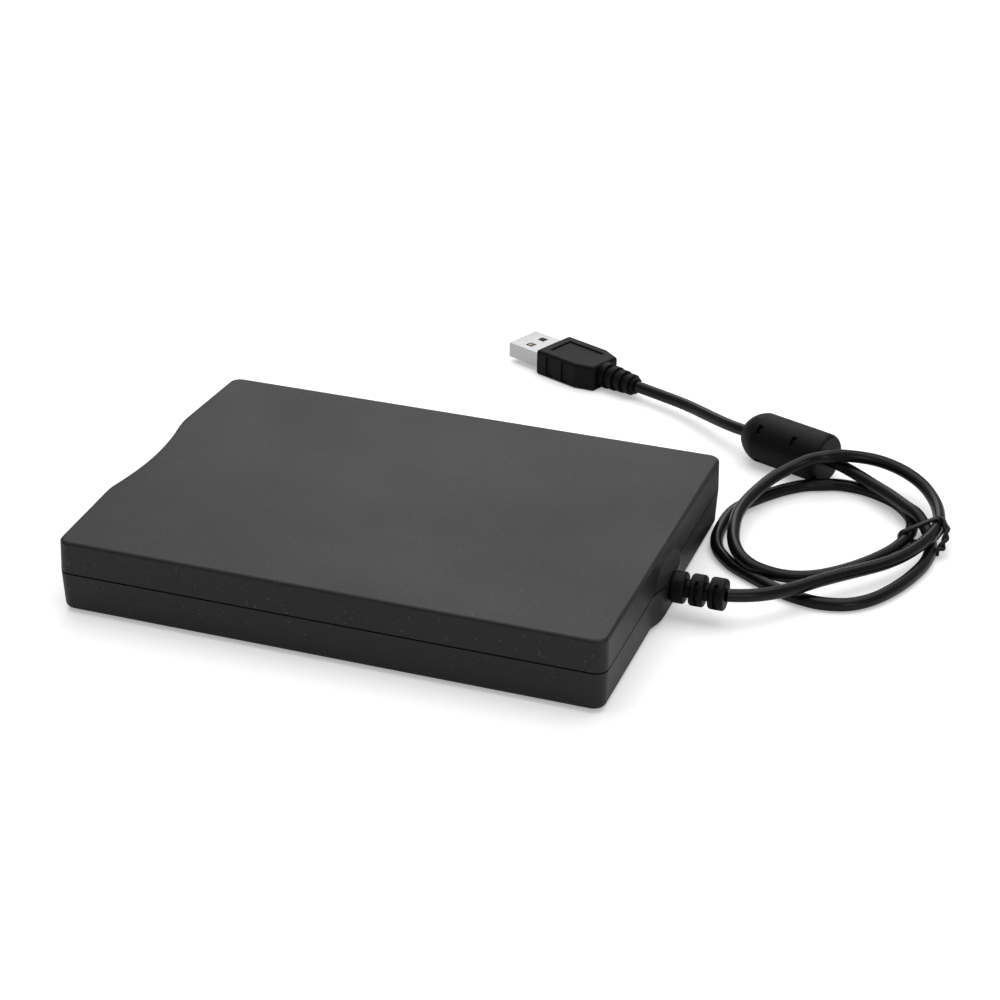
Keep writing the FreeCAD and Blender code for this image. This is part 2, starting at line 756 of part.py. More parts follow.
motor_y = size("motor_front")
motor_end = motor_y + size("motor_length")
screw_x = size("screw_x")
screw_z = size("screw_z")
motor_radius = size("motor_radius")
motor_room = motor_radius + 0.4
chassis.block((screw_x - motor_room, screw_x + motor_room), (motor_y - 0.4, motor_end + 0.6),
              (chassis_z - 1, chassis_z + 2), cut=True)
for x in (-28.0, 28.0):
    chassis.block((x - 9.0, x + 9.0), (-4.0, 16.0), (chassis_z - 1, chassis_z + 2), cut=True)
    chassis.round("z", (x, -44.0), 6.0, chassis_z - 1, chassis_z + 2, cut=True)
for sign in (-1, 1):
    x = (37.6, 39.6) if sign > 0 else (-39.6, -37.6)
    chassis.block(x, (spring_front - 0.8, spring_front), (chassis_z + 0.2, 8.1))
# Holes for the screws that hold the mechanism to the case
for x in (-mech_screw_x, mech_screw_x):
    for y in mech_screw_y:
        chassis.round("z", (x, y), 1.1, chassis_z - 1, chassis_z + 2, cut=True)
# Lugs that carry the guide rod and the lead screw's far bearing, and the motor's bracket
rod_x = size("rod_x")
rod_z = size("rod_z")
rod_radius = size("rod_radius")
rail_front = 30.2
lug = 0.8
lug_top = rod_z + rod_radius + 0.8
chassis.block((rod_x - 2.5, rod_x + 2.5), (rail_front, rail_front + lug), (chassis_z + 0.2, lug_top))
chassis.block((rod_x - 2.5, rod_x + 2.5), (56.0, 56.0 + lug), (chassis_z + 0.2, lug_top))
chassis.block((screw_x - 2.6, screw_x + 1.4), (rail_front, rail_front + lug),
              (chassis_z + 0.2, screw_z + 1.5))
chassis.block((screw_x - motor_radius, screw_x + motor_radius), (motor_y - 1.2, motor_y - 0.4),
              (chassis_z + 0.2, screw_z + 4.6))
chassis.round("y", (rod_x, rod_z), rod_radius, rail_front - 1, 58.0, cut=True)
chassis.round("y", (screw_x, screw_z), 1.0 + run_gap, rail_front - 1, rail_front + 3, cut=True)
chassis.round("y", (screw_x, screw_z), 3.0, motor_y - 2, motor_y, cut=True)

mech_screw_seat = chassis_z + plate
screws("chassis_screws", [(x, y) for x in (-mech_screw_x, mech_screw_x) for y in mech_screw_y],
       1.5, 0.35, 0.75, 4.0, mech_screw_seat)

# Posts that the seated disk rests on, two with locating tips
posts = []
for x in (-34.0, 34.0):
    for y in (-47.0, 22.0):
        post = cylinder(2.0, (x, y, float(chassis_z) + float(plate)), UP, 2.4)
        if y < 0:
            tip = Vector(x, y, float(chassis_z) + float(plate) + 2.4)
            post = post.fuse(Part.makeCone(1.5, 1.0, 1.5, tip))
        posts.append(post)
made("disk_posts", Part.makeCompound(posts))

# Cover sheet over the mechanism
shield = Piece("mechanism_cover")
shield_z = 17.2
shield_sheet = 0.4
shield_side = chassis_side + plate + 0.2
shield.prism("y", outline([(-shield_side - shield_sheet, 12.0), (-shield_side, 12.0),
                           (-shield_side, shield_z),
                           (shield_side, shield_z), (shield_side, 12.0), (shield_side + shield_sheet, 12.0),
                           (shield_side + shield_sheet, shield_z + shield_sheet),
                           (-shield_side - shield_sheet, shield_z + shield_sheet)]),
             -59.0, 44.0)
shield.round("z", (0.0, spindle_y), 14.0, shield_z - 1, shield_z + 1, cut=True)

# Spindle motor: board, stator, rotor with magnet, hub with drive pin
motor_board = Piece("spindle_board")
board_low = chassis_z + plate
motor_board.block(both(19.5), (spindle_y - 19.5, spindle_y + 17.4), (board_low, board_low + 0.4))
motor_board.round("z", (0.0, spindle_y), 3.2, board_low - 1, board_low + 1, cut=True)

bearing = Piece("spindle_bearing")
bore = size("shaft_radius") + run_gap
bearing.turned([(bore, 0.0), (3.1, 0.0), (3.1, 2.0), (bore, 2.0)])
bearing.place(0.0, spindle_y, chassis_z)

stator = Piece("spindle_stator")
stator_low = board_low + 0.4
stator.round("z", (0.0, spindle_y), 7.0, stator_low, stator_low + 0.9)
teeth = 9


def spokes(count, inner, outer, half_inner, half_outer):
    """Straight spokes about the spindle, as separate closed outlines."""

    def draw(sketch):
        for number in range(count):
            angle = math.radians(360.0 * number / count)
            along = Vector(math.cos(angle), math.sin(angle), 0)
            across = Vector(-along.y, along.x, 0)
            centre = Vector(0, float(spindle_y), 0)
            root = centre + along * inner
            tip = centre + along * outer
            corners = [root + across * half_inner, tip + across * half_outer,
                       tip - across * half_outer, root - across * half_inner]
            for i in range(4):
                sketch.addGeometry(Part.LineSegment(corners[i], corners[(i + 1) % 4]), False)

    return draw


stator.prism("z", spokes(teeth, 6.5, 13.0, 0.9, 0.9), stator_low, stator_low + 0.9)
stator.prism("z", spokes(teeth, 12.9, 15.0, 4.2, 4.4), stator_low, stator_low + 0.9)
stator.round("z", (0.0, spindle_y), 3.6, stator_low - 1, stator_low + 2, cut=True)

coils = []
for number in range(teeth):
    coil = box((8.2, 12.6), (-1.7, 1.7), (float(stator_low), float(stator_low) + 1.15))
    core = box((8.0, 12.8), (-0.95, 0.95), (float(stator_low) - 0.1, float(stator_low) + 0.95))
    coil = coil.cut(core)
    coil.rotate(Vector(), UP, 360.0 * number / teeth)
    coil.translate(Vector(0, float(spindle_y), 0))
    coils.append(coil)
made("stator_coils", Part.makeCompound(coils))

rotor = Piece("spindle_rotor")
rotor_radius = size("rotor_radius")
shaft = size("shaft_radius")
rotor.turned([(0.0, -1.2), (shaft, -1.2), (shaft, 2.6), (rotor_radius - 0.8, 2.6),
              (rotor_radius - 0.8, 1.2),
              (rotor_radius, 1.2), (rotor_radius, 3.0), (3.0, 3.0), (3.0, 3.2), (shaft, 3.2), (shaft, 4.9),
              (shaft - 0.5, 5.2), (0.0, 5.2)])
rotor.place(0.0, spindle_y, chassis_z)

magnet = Piece("rotor_magnet")
magnet.turned([(rotor_radius - 2.1, 1.4), (rotor_radius - 0.8, 1.4), (rotor_radius - 0.8, 2.6),
               (rotor_radius - 2.1, 2.6)])
magnet.place(0.0, spindle_y, chassis_z)

hub = Piece("spindle_hub")
hub_radius = size("hub_radius")
hub.turned([(3.0, 3.0), (hub_radius, 3.0), (hub_radius, 3.3), (hub_radius - 0.4, 3.6), (3.0, 3.6)])
hub.round("z", (8.4, 0.0), 0.9, 3.4, 4.8)
hub.place(0.0, spindle_y, chassis_z)

# Guide rod
rod = Piece("guide_rod")
rod.round("y", (rod_x, rod_z), rod_radius, rail_front - 0.3, 57.3)

# Stepper motor with its lead screw
motor = Piece("stepper_motor")
motor.round("y", (screw_x, screw_z), motor_radius, motor_y - 0.4, motor_end - 0.4)
motor.round("y", (screw_x, screw_z), 2.6, motor_y - 1.1, motor_y - 0.3)
motor.round("y", (screw_x, screw_z), 1.0 + run_gap, motor_y - 3, motor_y + 6, cut=True)
motor.rounded(0.5, lambda edge: edge.BoundBox.YLength < 0.01 and edge.Length > 30
              and edge.BoundBox.YMax > float(motor_end) - 1)

screw_radius = size("screw_radius")
lead = Piece("lead_screw")
lead.round("y", (screw_x, screw_z), screw_radius, rail_front + lug + 0.3, motor_y - 1.5)
lead.round("y", (screw_x, screw_z), 1.0, rail_front - 0.2, motor_y + 5.0)

# Head carriage on the guide rod, with a finger in the lead screw's thread
head_y = size("head_y")
carriage = Piece("head_carriage")
carriage.block((-6.5, 6.5), (head_y - 4.0, head_y + 31.5), (6.9, 8.1))
carriage.block((6.4, 15.6), (head_y + 22.0, head_y + 31.0), (6.9, 8.1))
sleeve_top = rod_z + rod_radius + 0.8
carriage.block((10.4, 15.6), (head_y + 22.0, head_y + 31.0), (6.9, sleeve_top))
carriage.block((-6.6, -5.0), (head_y + 20.9, head_y + 24.0), (6.9, 11.4))
thread_x = screw_x + screw_radius
carriage.block((thread_x + 0.5, -5.2), (head_y + 20.9, head_y + 22.7), (screw_z - 1.0, screw_z + 1.0))
carriage.round("x", (head_y + 21.8, screw_z), 0.6, thread_x + run_gap, thread_x + 0.7)
# Vane that darkens the sensor at the outermost track
carriage.block((15.5, 20.2), (head_y + 25.0, head_y + 28.0),
               (sleeve_top - 0.8, sleeve_top - 0.2))
carriage.block((19.2, 20.2), (head_y + 25.0, head_y + 28.0), (8.0, sleeve_top - 0.4))
pivot_y = head_y + size("arm_pivot_back")
pivot_z = size("arm_pivot_z")
for low, high in ((-6.5, -4.7), (4.7, 6.5)):
    carriage.prism("x", outline([(pivot_y - 2.5, 8.0), (pivot_y + 2.5, 8.0), (pivot_y + 1.5, pivot_z + 1.4),
                                 (pivot_y - 1.5, pivot_z + 1.4)]), low, high)
carriage.round("x", (pivot_y, pivot_z), 0.6, -7.0, 7.0, cut=True)
carriage.round("y", (rod_x, rod_z), rod_radius + run_gap, head_y + 21, head_y + 32, cut=True)
carriage.block((-2.2, 2.2), (head_y - 2.6, head_y + 2.6), (7.5, 8.5), cut=True)

hinge_pin = Piece("arm_hinge_pin")
hinge_pin.round("x", (pivot_y, pivot_z), 0.6, -6.9, 6.9)

lower_head = Piece("lower_head")
lower_head.block((-2.1, 2.1), (head_y - 2.5, head_y + 2.5), (7.5, 9.4))
lower_head.block((-1.3, 1.3), (head_y - 1.8, head_y + 1.8), (9.3, 10.2))

arm_low = 15.0 + 0.9
upper_arm = Piece("upper_head_arm")
upper_arm.prism("x", outline([(head_y - 4.5, arm_low - 0.1), (pivot_y - 4.0, arm_low - 0.1),
                              (pivot_y - 1.0, pivot_z - 0.6), (pivot_y + 1.0, pivot_z - 0.6),
                              (pivot_y + 1.2, pivot_z + 0.8), (pivot_y - 3.0, arm_low + 0.9),
                              (head_y - 4.5, arm_low + 0.9)]), -4.4, 4.4)
upper_arm.block((-11.2, -4.3), (head_y + 13.0, head_y + 16.0), (arm_low + 0.2, arm_low + 0.8))
upper_arm.round("x", (pivot_y, pivot_z), 0.6 + run_gap, -6, 6, cut=True)

upper_head = Piece("upper_head")
upper_head.block((-2.1, 2.1), (head_y - 2.5, head_y + 2.5), (arm_low - 0.7, arm_low - 0.1))
upper_head.block((-1.3, 1.3), (head_y - 1.8, head_y + 1.8), (arm_low - 1.1, arm_low - 0.6))

arm_spring = cylinder(1.25, (6.6, float(pivot_y), float(pivot_z)), ACROSS, 0.9)
arm_spring = arm_spring.cut(cylinder(0.75, (6.0, float(pivot_y), float(pivot_z)), ACROSS, 3))
spring_foot = box((6.6, 7.0), (float(pivot_y) - 0.2, float(pivot_y) + 0.2), (8.1, float(pivot_z) - 0.9))
made("arm_spring", arm_spring.fuse(spring_foot))

# Disk sensing switches: housings with sprung plungers
switch_places = {
    "disk_plunger": (-28.0, 22.0),
    "protect_plunger": (-41.0, -52.0),
    "density_plunger": (41.0, -52.0),
}
housings = []
for name, (x, y) in switch_places.items():
    housing = box((x - 1.9, x + 1.9), (y - 2.6, y + 2.6), (float(board_low), float(board_low) + 1.9))
    housings.append(housing.cut(cylinder(0.85, (x, y, float(board_low) + 0.4), UP, 4)))
    plunger = Piece(name)
    plunger.round("z", (0.0, 0.0), 0.8, 1.3, 3.2)
    plunger.rounded(0.25, lambda edge: edge.BoundBox.ZMax > 3.15 and edge.BoundBox.ZLength < 0.01)
    plunger.place(x, y, board_low)
made("switch_housings", Part.makeCompound(housings))

# Track zero sensor beside the carriage
sensor = Piece("track_zero_sensor")
sensor.block((17.2, 22.4), (48.5, 53.5), (board_low, board_low + 1.2))
sensor.block((17.2, 18.6), (48.5, 53.5), (board_low + 1.1, board_low + 3.2))
sensor.block((20.8, 22.4), (48.5, 53.5), (board_low + 1.1, board_low + 3.2))

# Eject springs between chassis hooks and slider tabs
for name, sign in (("eject_spring_left", -1), ("eject_spring_right", 1)):
    centre = sign * spring_x
    coil = cylinder(0.9, (centre, spring_front, spring_z), BACK, spring_rear - spring_front)
    made(name, coil.cut(cylinder(0.55, (centre, spring_front - 1, spring_z), BACK, 60)))

# Boards, chips and connectors
board_z = size("board_z")
board_t = size("board_thick")
main_board = Piece("main_board")
main_board.block((-6.0, 42.6), (18.0, 60.0), (board_z, board_z + board_t))
for x, y in ((38.0, 56.0), (0.0, 22.0)):
    main_board.round("z", (x, y), 0.8, board_z - 1, board_z + 2, cut=True)

chip = Piece("controller_chip")
chip.block((10.0, 22.0), (28.0, 40.0), (board_z + board_t, board_z + board_t + 0.8))
legs = []
leg_low = float(board_z + board_t)
for i in range(10):
    offset = -4.5 + i
    legs.append(box((15.8 + offset, 16.2 + offset), (27.0, 41.0), (leg_low, leg_low + 0.15)))
made("chip_legs", Part.makeCompound([leg.cut(box((9, 23), (28.0, 40.0), (0, 20))).Solids[k]
                                     for leg in legs for k in (0, 1)]))

usb_board = Piece("interface_board")
usb_board.block((-40.0, 40.0), (62.6, 66.8), (3.0, 3.8))
usb_chip = Piece("interface_chip")
usb_chip.block((14.0, 19.0), (62.8, 66.6), (3.8, 4.8))
crystal = Piece("crystal")
crystal.prism("z", rectangle((24.0, 32.0), (63.2, 66.2)), 3.8, 6.2)
crystal.rounded(0.9, lambda edge: edge.BoundBox.ZLength > 2)
caps = []
for x in (-32.0, -26.0, 36.0):
    caps.append(cylinder(1.8, (x, 64.7, 3.8), UP, 4.4))
made("capacitors", Part.makeCompound(caps))
cord_socket = Piece("cord_socket")
cord_socket.block((-12.0, -4.0), (62.9, 66.4), (3.8, 6.6))

ribbon = Piece("flat_ribbon")
ribbon.prism("x", outline([(58.5, 4.4), (60.2, 4.4), (62.7, 3.8), (64.0, 3.8), (64.0, 3.95), (62.8, 3.95),
                           (60.3, 4.55), (58.5, 4.55)]), -3.0, 12.0)

lamp = Piece("access_lamp")
lamp.block((lamp_x - 1.2, lamp_x + 1.2), (-64.9, -63.2), (lamp_z - 0.9, lamp_z + 0.8))
lens = Piece("lamp_lens")
lens.prism("y", rectangle((lamp_x - 1.85, lamp_x + 1.85), (lamp_z - 0.65, lamp_z + 0.65)),
           bezel_front_y - 0.3, -65.0)

# Strain relief: three blocks on one core, joined by webs so that it can bend
relief = Piece("strain_relief")
relief_front = rear_wall_y + size("boss_depth")
relief_length = size("relief_length")
relief.round("y", (0.0, relief_z), relief_radius - 1.2, relief_front - 5.0, relief_front + 0.5)
relief.round("y", (0.0, relief_z), relief_radius, relief_front, relief_front + relief_length)
# Flange inside the wall, which takes the pull on the lead
relief.round("y", (0.0, relief_z), relief_radius + 0.3, relief_front - 5.0, rear_wall_y - wall - 0.1)
made_gap = 1.2
for end in (3.9, 8.9):
    relief.prism("y", rectangle((-6.0, 6.0), (relief_z + 2.2, relief_z + 6.0)),
                 relief_front + end, relief_front + end + made_gap, cut=True)
    relief.prism("y", rectangle((-6.0, 6.0), (relief_z - 6.0, relief_z - 2.2)),
                 relief_front + end, relief_front + end + made_gap, cut=True)
for middle in (6.5, 11.3):
    for low, high in ((-6.0, -2.2), (2.2, 6.0)):
        relief.prism("y", rectangle((low, high), (relief_z - 2.9, relief_z + 2.9)),
                     relief_front + middle, relief_front + middle + 0.9, cut=True)

# The lead: hand-chosen points of its route, in millimetres
cord_radius = float(size("cord_radius"))
tail_route = [
    (0.0, 85.9, 8.0),
    (-2.3, 90.9, 7.5),
    (-7.4, 96.3, 6.8),
    (-13.2, 100.8, 6.2),
]
bead_end = Vector(-85.6, 92.5, float(size("bead_radius")))
bead_line = Vector(0.3597, 0.9331, 0).normalize()
bead_start = bead_end - bead_line * float(size("bead_length"))
bead_to_plug_route = [
    tuple(bead_start),
    (-98.6, 61.4, 6.5),
    (-104.8, 53.9, 5.4),
    (-112.0, 45.2, 4.4),
    (-117.2, 34.8, 4.0),
    (-120.3, 27.4, 4.0),
]


def tube(name, route):
    """A round cord along straight runs joined by arcs as large as the runs allow."""
    points = [Vector(*p) for p in route]
    edges = []
    start = points[0]
    for before, corner, after in zip(points, points[1:], points[2:]):
        run_in = corner - before
        run_out = after - corner
        turn = run_in.getAngle(run_out)
        trim = 0.45 * min(run_in.Length, run_out.Length)
        radius = trim / math.tan(turn / 2)
        print(name, "radius %.1f" % radius)
        direction_in = Vector(run_in).normalize()
        direction_out = Vector(run_out).normalize()
        arc_start = corner - direction_in * trim
        arc_end = corner + direction_out * trim
        toward = (direction_out - direction_in).normalize()
        centre = corner + toward * (radius / math.cos(turn / 2))
        middle = centre - toward * radius
        edges.append(Part.LineSegment(start, arc_start).toShape())
        edges.append(Part.Arc(arc_start, middle, arc_end).toShape())
        start = arc_end
    edges.append(Part.LineSegment(start, points[-1]).toShape())
    path = Part.Wire(edges)
    profile = Part.Wire(Part.makeCircle(cord_radius, points[0], points[1] - points[0]))
    solid = path.makePipeShell([profile], True, False)
    expected = math.pi * cord_radius ** 2 * path.Length
    print(name, "length %.1f volume %.1f expected %.1f" % (path.Length, solid.Volume, expected))
    made(name, solid)


tube("cord_tail", tail_route)
tube("cord_lead", bead_to_plug_route)


def oval(centre, half_x, half_y, level):
    return Part.Wire(Part.Ellipse(Vector(*centre, level), half_x, half_y).toShape())


def coil_ring():
    """The outer shape of the loose loop: an oval ring, cut back where the bead lies."""
    height = float(size("coil_height"))
    shoulder = 2.0
    centre = (-51.3, 100.1)
    ring = Part.Face(oval(centre, 37.6, 29.2, 0)).extrude(Vector(0, 0, height - shoulder))
    cap = [oval(centre, 37.6, 29.2, height - shoulder),
           oval(centre, 37.6 - shoulder, 29.2 - shoulder, height)]
    ring = ring.fuse(Part.makeLoft(cap, True, True))
    ring = ring.cut(Part.Face(oval((-53.0, 98.8), 24.5, 18.5, 0)).extrude(Vector(0, 0, height)))
    width = float(size("bead_radius")) + 0.3
    channel = Part.makeBox(40, 2 * width, 30, Vector(-40, -width, -5))
    channel.Placement = Placement(Vector(bead_end.x, bead_end.y, 0), Rotation(ACROSS, bead_line))
    return ring.cut(channel)


made("cord_coil", coil_ring())

# Ferrite bead: a moulded barrel on the lead
bead = Piece("ferrite_bead")
bead_radius = size("bead_radius")
bead_length = size("bead_length")
bead.turned([(cord_radius, 0.0), (bead_radius - 3.5, 0.0), (bead_radius - 1.0, 1.0), (bead_radius, 3.5),
             (bead_radius, bead_length), (cord_radius, bead_length)])
for level in (6.0, 17.0):
    window_edge = rectangle((bead_radius - 0.6, bead_radius + 1), (-1.6, 1.6))
    bead.prism("z", window_edge, level, level + 1.2, cut=True)
bead.body.Placement = Placement(bead_start, Rotation(UP, bead_line))

# Plug: overmoulded grip, steel shell, tongue and contacts, built along its own +Y towards the tip
plug_length = size("plug_length")
plug_start = Vector(*bead_to_plug_route[-1])
plug_line = Vector(-17.75, -41.55, 0).normalize()
plug_turn = Rotation(BACK, plug_line)
plug_at = Placement(plug_start, plug_turn)
shell_out = 12.0
grip_end = plug_length - shell_out
relief_out = 12.0

grip = Piece("plug_grip")
grip.prism("z", outline([(-5.4, relief_out), (5.4, relief_out), (7.6, relief_out + 6.0), (7.6, grip_end),
                         (-7.6, grip_end), (-7.6, relief_out + 6.0)]), -4.0, 4.0)
grip.rounded(1.0, lambda edge: edge.BoundBox.ZLength < 0.01 or edge.BoundBox.ZLength > 7.9)
grip.prism("z", rectangle((-4.6, 4.6), (relief_out + 4.5, grip_end - 3.0)), 3.6, 5.0, cut=True)
for y in (relief_out + 8.5, relief_out + 14.5):
    for low, high in ((-8.0, -7.2), (7.2, 8.0)):
        grip.prism("z", rectangle((low, high), (y, y + 2.6)), -3.0, 3.0, cut=True)
for step in range(4):
    near = relief_out - 3.0 * step
    radius = 3.9 - 0.25 * step
    grip.round("y", (0.0, 0.0), radius - 0.7, near - 3.0, near + 0.4)
    grip.round("y", (0.0, 0.0), radius, near - 1.7, near + 0.2 if step == 0 else near - 0.1)
grip.prism("y", rectangle((-6.0, 6.0), (-2.25, 2.25)), grip_end - 1.5, grip_end + 1, cut=True)
grip.body.Placement = plug_at

shell_piece = Piece("plug_shell")
shell_piece.prism("y", rectangle((-6.0, 6.0), (-2.25, 2.25)), grip_end - 1.5, plug_length)
shell_piece.prism("y", rectangle((-5.7, 5.7), (-1.95, 1.95)), grip_end - 2, plug_length + 1, cut=True)
for x in (-2.7, 2.7):
    shell_hole = rectangle((x - 1.2, x + 1.2), (grip_end + 5.0, grip_end + 7.4))
    shell_piece.prism("z", shell_hole, 1.0, 3.0, cut=True)
shell_piece.body.Placement = plug_at

tongue = Piece("plug_tongue")
tongue.prism("y", rectangle((-5.7, 5.7), (-1.95, -0.1)), grip_end - 1.5, plug_length - 0.5)
tongue.body.Placement = plug_at
contact = Piece("plug_contacts")
for x in (-3.5, -1.0, 1.0, 3.5):
    contact.prism("y", rectangle((x - 0.5, x + 0.5), (-0.1, 0.05)), grip_end, plug_length - 1.2)
contact.body.Placement = plug_at

doc.recompute()

os.makedirs("parts", exist_ok=True)
for item in doc.Objects:
    if "Invalid" in item.State or "Error" in item.State:
        raise RuntimeError("%s failed: %s" % (item.Name, item.State))
for name, item in nodes.items():
    shape = item.Shape
    if shape.isNull() or not shape.isValid() or not shape.Solids:
        raise RuntimeError("%s has no valid solid" % name)
for name, item in nodes.items():
    item.Shape.exportStep(os.path.join("parts", name + ".step"))
    print(name, len(item.Shape.Solids), "%.1f" % item.Shape.Volume)
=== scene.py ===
import json
import math

import bmesh
import bpy
from bpy.props import FloatProperty, FloatVectorProperty, PointerProperty
from mathutils import Matrix, Vector


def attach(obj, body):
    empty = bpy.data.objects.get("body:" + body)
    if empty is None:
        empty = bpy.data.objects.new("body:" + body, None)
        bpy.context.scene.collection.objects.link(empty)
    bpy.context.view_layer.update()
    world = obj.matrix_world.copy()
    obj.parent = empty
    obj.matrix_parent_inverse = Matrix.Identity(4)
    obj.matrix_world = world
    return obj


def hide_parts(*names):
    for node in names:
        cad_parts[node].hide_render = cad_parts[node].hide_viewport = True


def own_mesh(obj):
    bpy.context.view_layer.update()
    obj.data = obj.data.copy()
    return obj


bl_info = {
    "name": "External Floppy Disk Drive",
    "version": (1, 0, 0),
    "blender": (4, 5, 0),
    "location": "View3D > Sidebar > Floppy Drive",
    "description": "Finishes and soft pieces for an external floppy disk drive and its coiled lead",
    "category": "Object",
}

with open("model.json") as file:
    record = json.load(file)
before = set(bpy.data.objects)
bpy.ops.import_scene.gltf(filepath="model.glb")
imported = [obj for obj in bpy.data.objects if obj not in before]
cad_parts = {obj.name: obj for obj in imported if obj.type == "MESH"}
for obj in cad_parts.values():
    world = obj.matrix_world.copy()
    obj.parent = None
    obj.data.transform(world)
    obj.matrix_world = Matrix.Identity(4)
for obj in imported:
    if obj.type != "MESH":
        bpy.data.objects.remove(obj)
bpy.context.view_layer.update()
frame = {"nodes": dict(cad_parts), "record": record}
MM = 0.001
BODY = "case"


# Settings

class FloppyStageSettings(bpy.types.PropertyGroup):
    lens: FloatProperty(name="Lens", description="Focal length on a 36 mm wide sensor", default=90.45,
                        min=10.0, unit="CAMERA")
    floor_size: FloatProperty(name="Floor size", description="Width of the square floor", default=6.0,
                              min=1.0, unit="LENGTH")
    floor_colour: FloatVectorProperty(name="Floor colour", description="Colour of the plain floor",
                                      default=(0.9, 0.9, 0.9), size=3, subtype="COLOR", min=0.0, max=1.0)
    key_power: FloatProperty(name="Key light", description="Power of the large light overhead",
                             default=13.0, min=0.0, unit="POWER")
    back_power: FloatProperty(name="Back light", description="Power of the soft light behind the drive",
                              default=2.7, min=0.0, unit="POWER")
    side_power: FloatProperty(name="Side light", description="Power of the small light beyond the lead",
                              default=0.5, min=0.0, unit="POWER")
    sky: FloatProperty(name="Surround", description="Brightness of the plain surround", default=0.35,
                       min=0.0, max=2.0, subtype="FACTOR")


class FloppyCaseSettings(bpy.types.PropertyGroup):
    colour: FloatVectorProperty(name="Case colour", description="Colour of the moulded case",
                                default=(0.0105, 0.0105, 0.011), size=3, subtype="COLOR", min=0.0, max=1.0)
    roughness: FloatProperty(name="Case roughness", description="How matt the case is", default=0.46,
                             min=0.0, max=1.0, subtype="FACTOR")
    grain: FloatProperty(name="Grain size", description="Size of the moulded grain", default=0.00035,
                         min=0.00005, unit="LENGTH")


class FloppyLeadSettings(bpy.types.PropertyGroup):
    diameter: FloatProperty(name="Lead diameter", description="Outside diameter of the lead",
                            default=0.0034, min=0.001, unit="LENGTH")
    colour: FloatVectorProperty(name="Lead colour", description="Colour of the lead's soft jacket",
                                default=(0.0032, 0.0032, 0.0034), size=3, subtype="COLOR", min=0.0, max=1.0)
    roughness: FloatProperty(name="Lead roughness", description="How matt the jacket is", default=0.27,
                             min=0.0, max=1.0, subtype="FACTOR")


class FloppyMetalSettings(bpy.types.PropertyGroup):
    steel: FloatVectorProperty(name="Sheet steel", description="Colour of the plated sheet steel",
                               default=(0.6, 0.6, 0.58), size=3, subtype="COLOR", min=0.0, max=1.0)
    bright: FloatVectorProperty(name="Bright steel", description="Colour of ground steel pins and rods",
                                default=(0.74, 0.74, 0.75), size=3, subtype="COLOR", min=0.0, max=1.0)


# Node helpers

class Graph:
    """Adds and joins nodes in one node tree."""

    def __init__(self, tree):
        self.tree = tree

    def add(self, kind, values=None, **settings):
        node = self.tree.nodes.new("ShaderNode" + kind)
        for name, value in settings.items():
            setattr(node, name, value)
        for key, value in (values or {}).items():
            self.feed(node.inputs[key], value)
        return node

    def feed(self, socket, value):
        if isinstance(value, bpy.types.NodeSocket):
            self.tree.links.new(value, socket)
        else:
            socket.default_value = value

    def maths(self, operation, a, b=0.0):
        node = self.add("Math", operation=operation)
        self.feed(node.inputs[0], a)
        self.feed(node.inputs[1], b)
        return node.outputs[0]

    def noise(self, scale, detail=2.0, vector=None, roughness=0.5):
        node = self.add("TexNoise", {"Scale": scale, "Detail": detail, "Roughness": roughness})
        if vector is not None:
            self.feed(node.inputs["Vector"], vector)
        return node.outputs["Fac"]

    def mix(self, factor, a, b):
        node = self.add("Mix", data_type="RGBA")
        self.feed(node.inputs["Factor"], factor)
        self.feed(node.inputs["A"], a)
        self.feed(node.inputs["B"], b)
        return node.outputs["Result"]

    def spread(self, value, low, high, to_low=0.0, to_high=1.0):
        node = self.add("MapRange", {"From Min": low, "From Max": high, "To Min": to_low, "To Max": to_high})
        self.feed(node.inputs["Value"], value)
        return node.outputs["Result"]

    def points(self, stretch=(1.0, 1.0, 1.0)):
        place = self.add("TexCoord").outputs["Object"]
        mapping = self.add("Mapping", {"Vector": place})
        mapping.inputs["Scale"].default_value = stretch
        return mapping.outputs["Vector"]


def effect_group(name, inputs, outputs):
    """An empty shader node group with named sockets, its graph and its two end nodes."""
    tree = bpy.data.node_groups.new(name, "ShaderNodeTree")
    for label, kind, default in inputs:
        socket = tree.interface.new_socket(name=label, in_out="INPUT", socket_type="NodeSocket" + kind)
        socket.default_value = default
    for label, kind in outputs:
        tree.interface.new_socket(name=label, in_out="OUTPUT", socket_type="NodeSocket" + kind)
    graph = Graph(tree)
    ends = tree.nodes.new("NodeGroupInput"), tree.nodes.new("NodeGroupOutput")
    return tree, graph, ends[0].outputs, ends[1].inputs


SURFACE_OUTPUTS = [("Colour", "Color"), ("Roughness", "Float"), ("Height", "Float")]


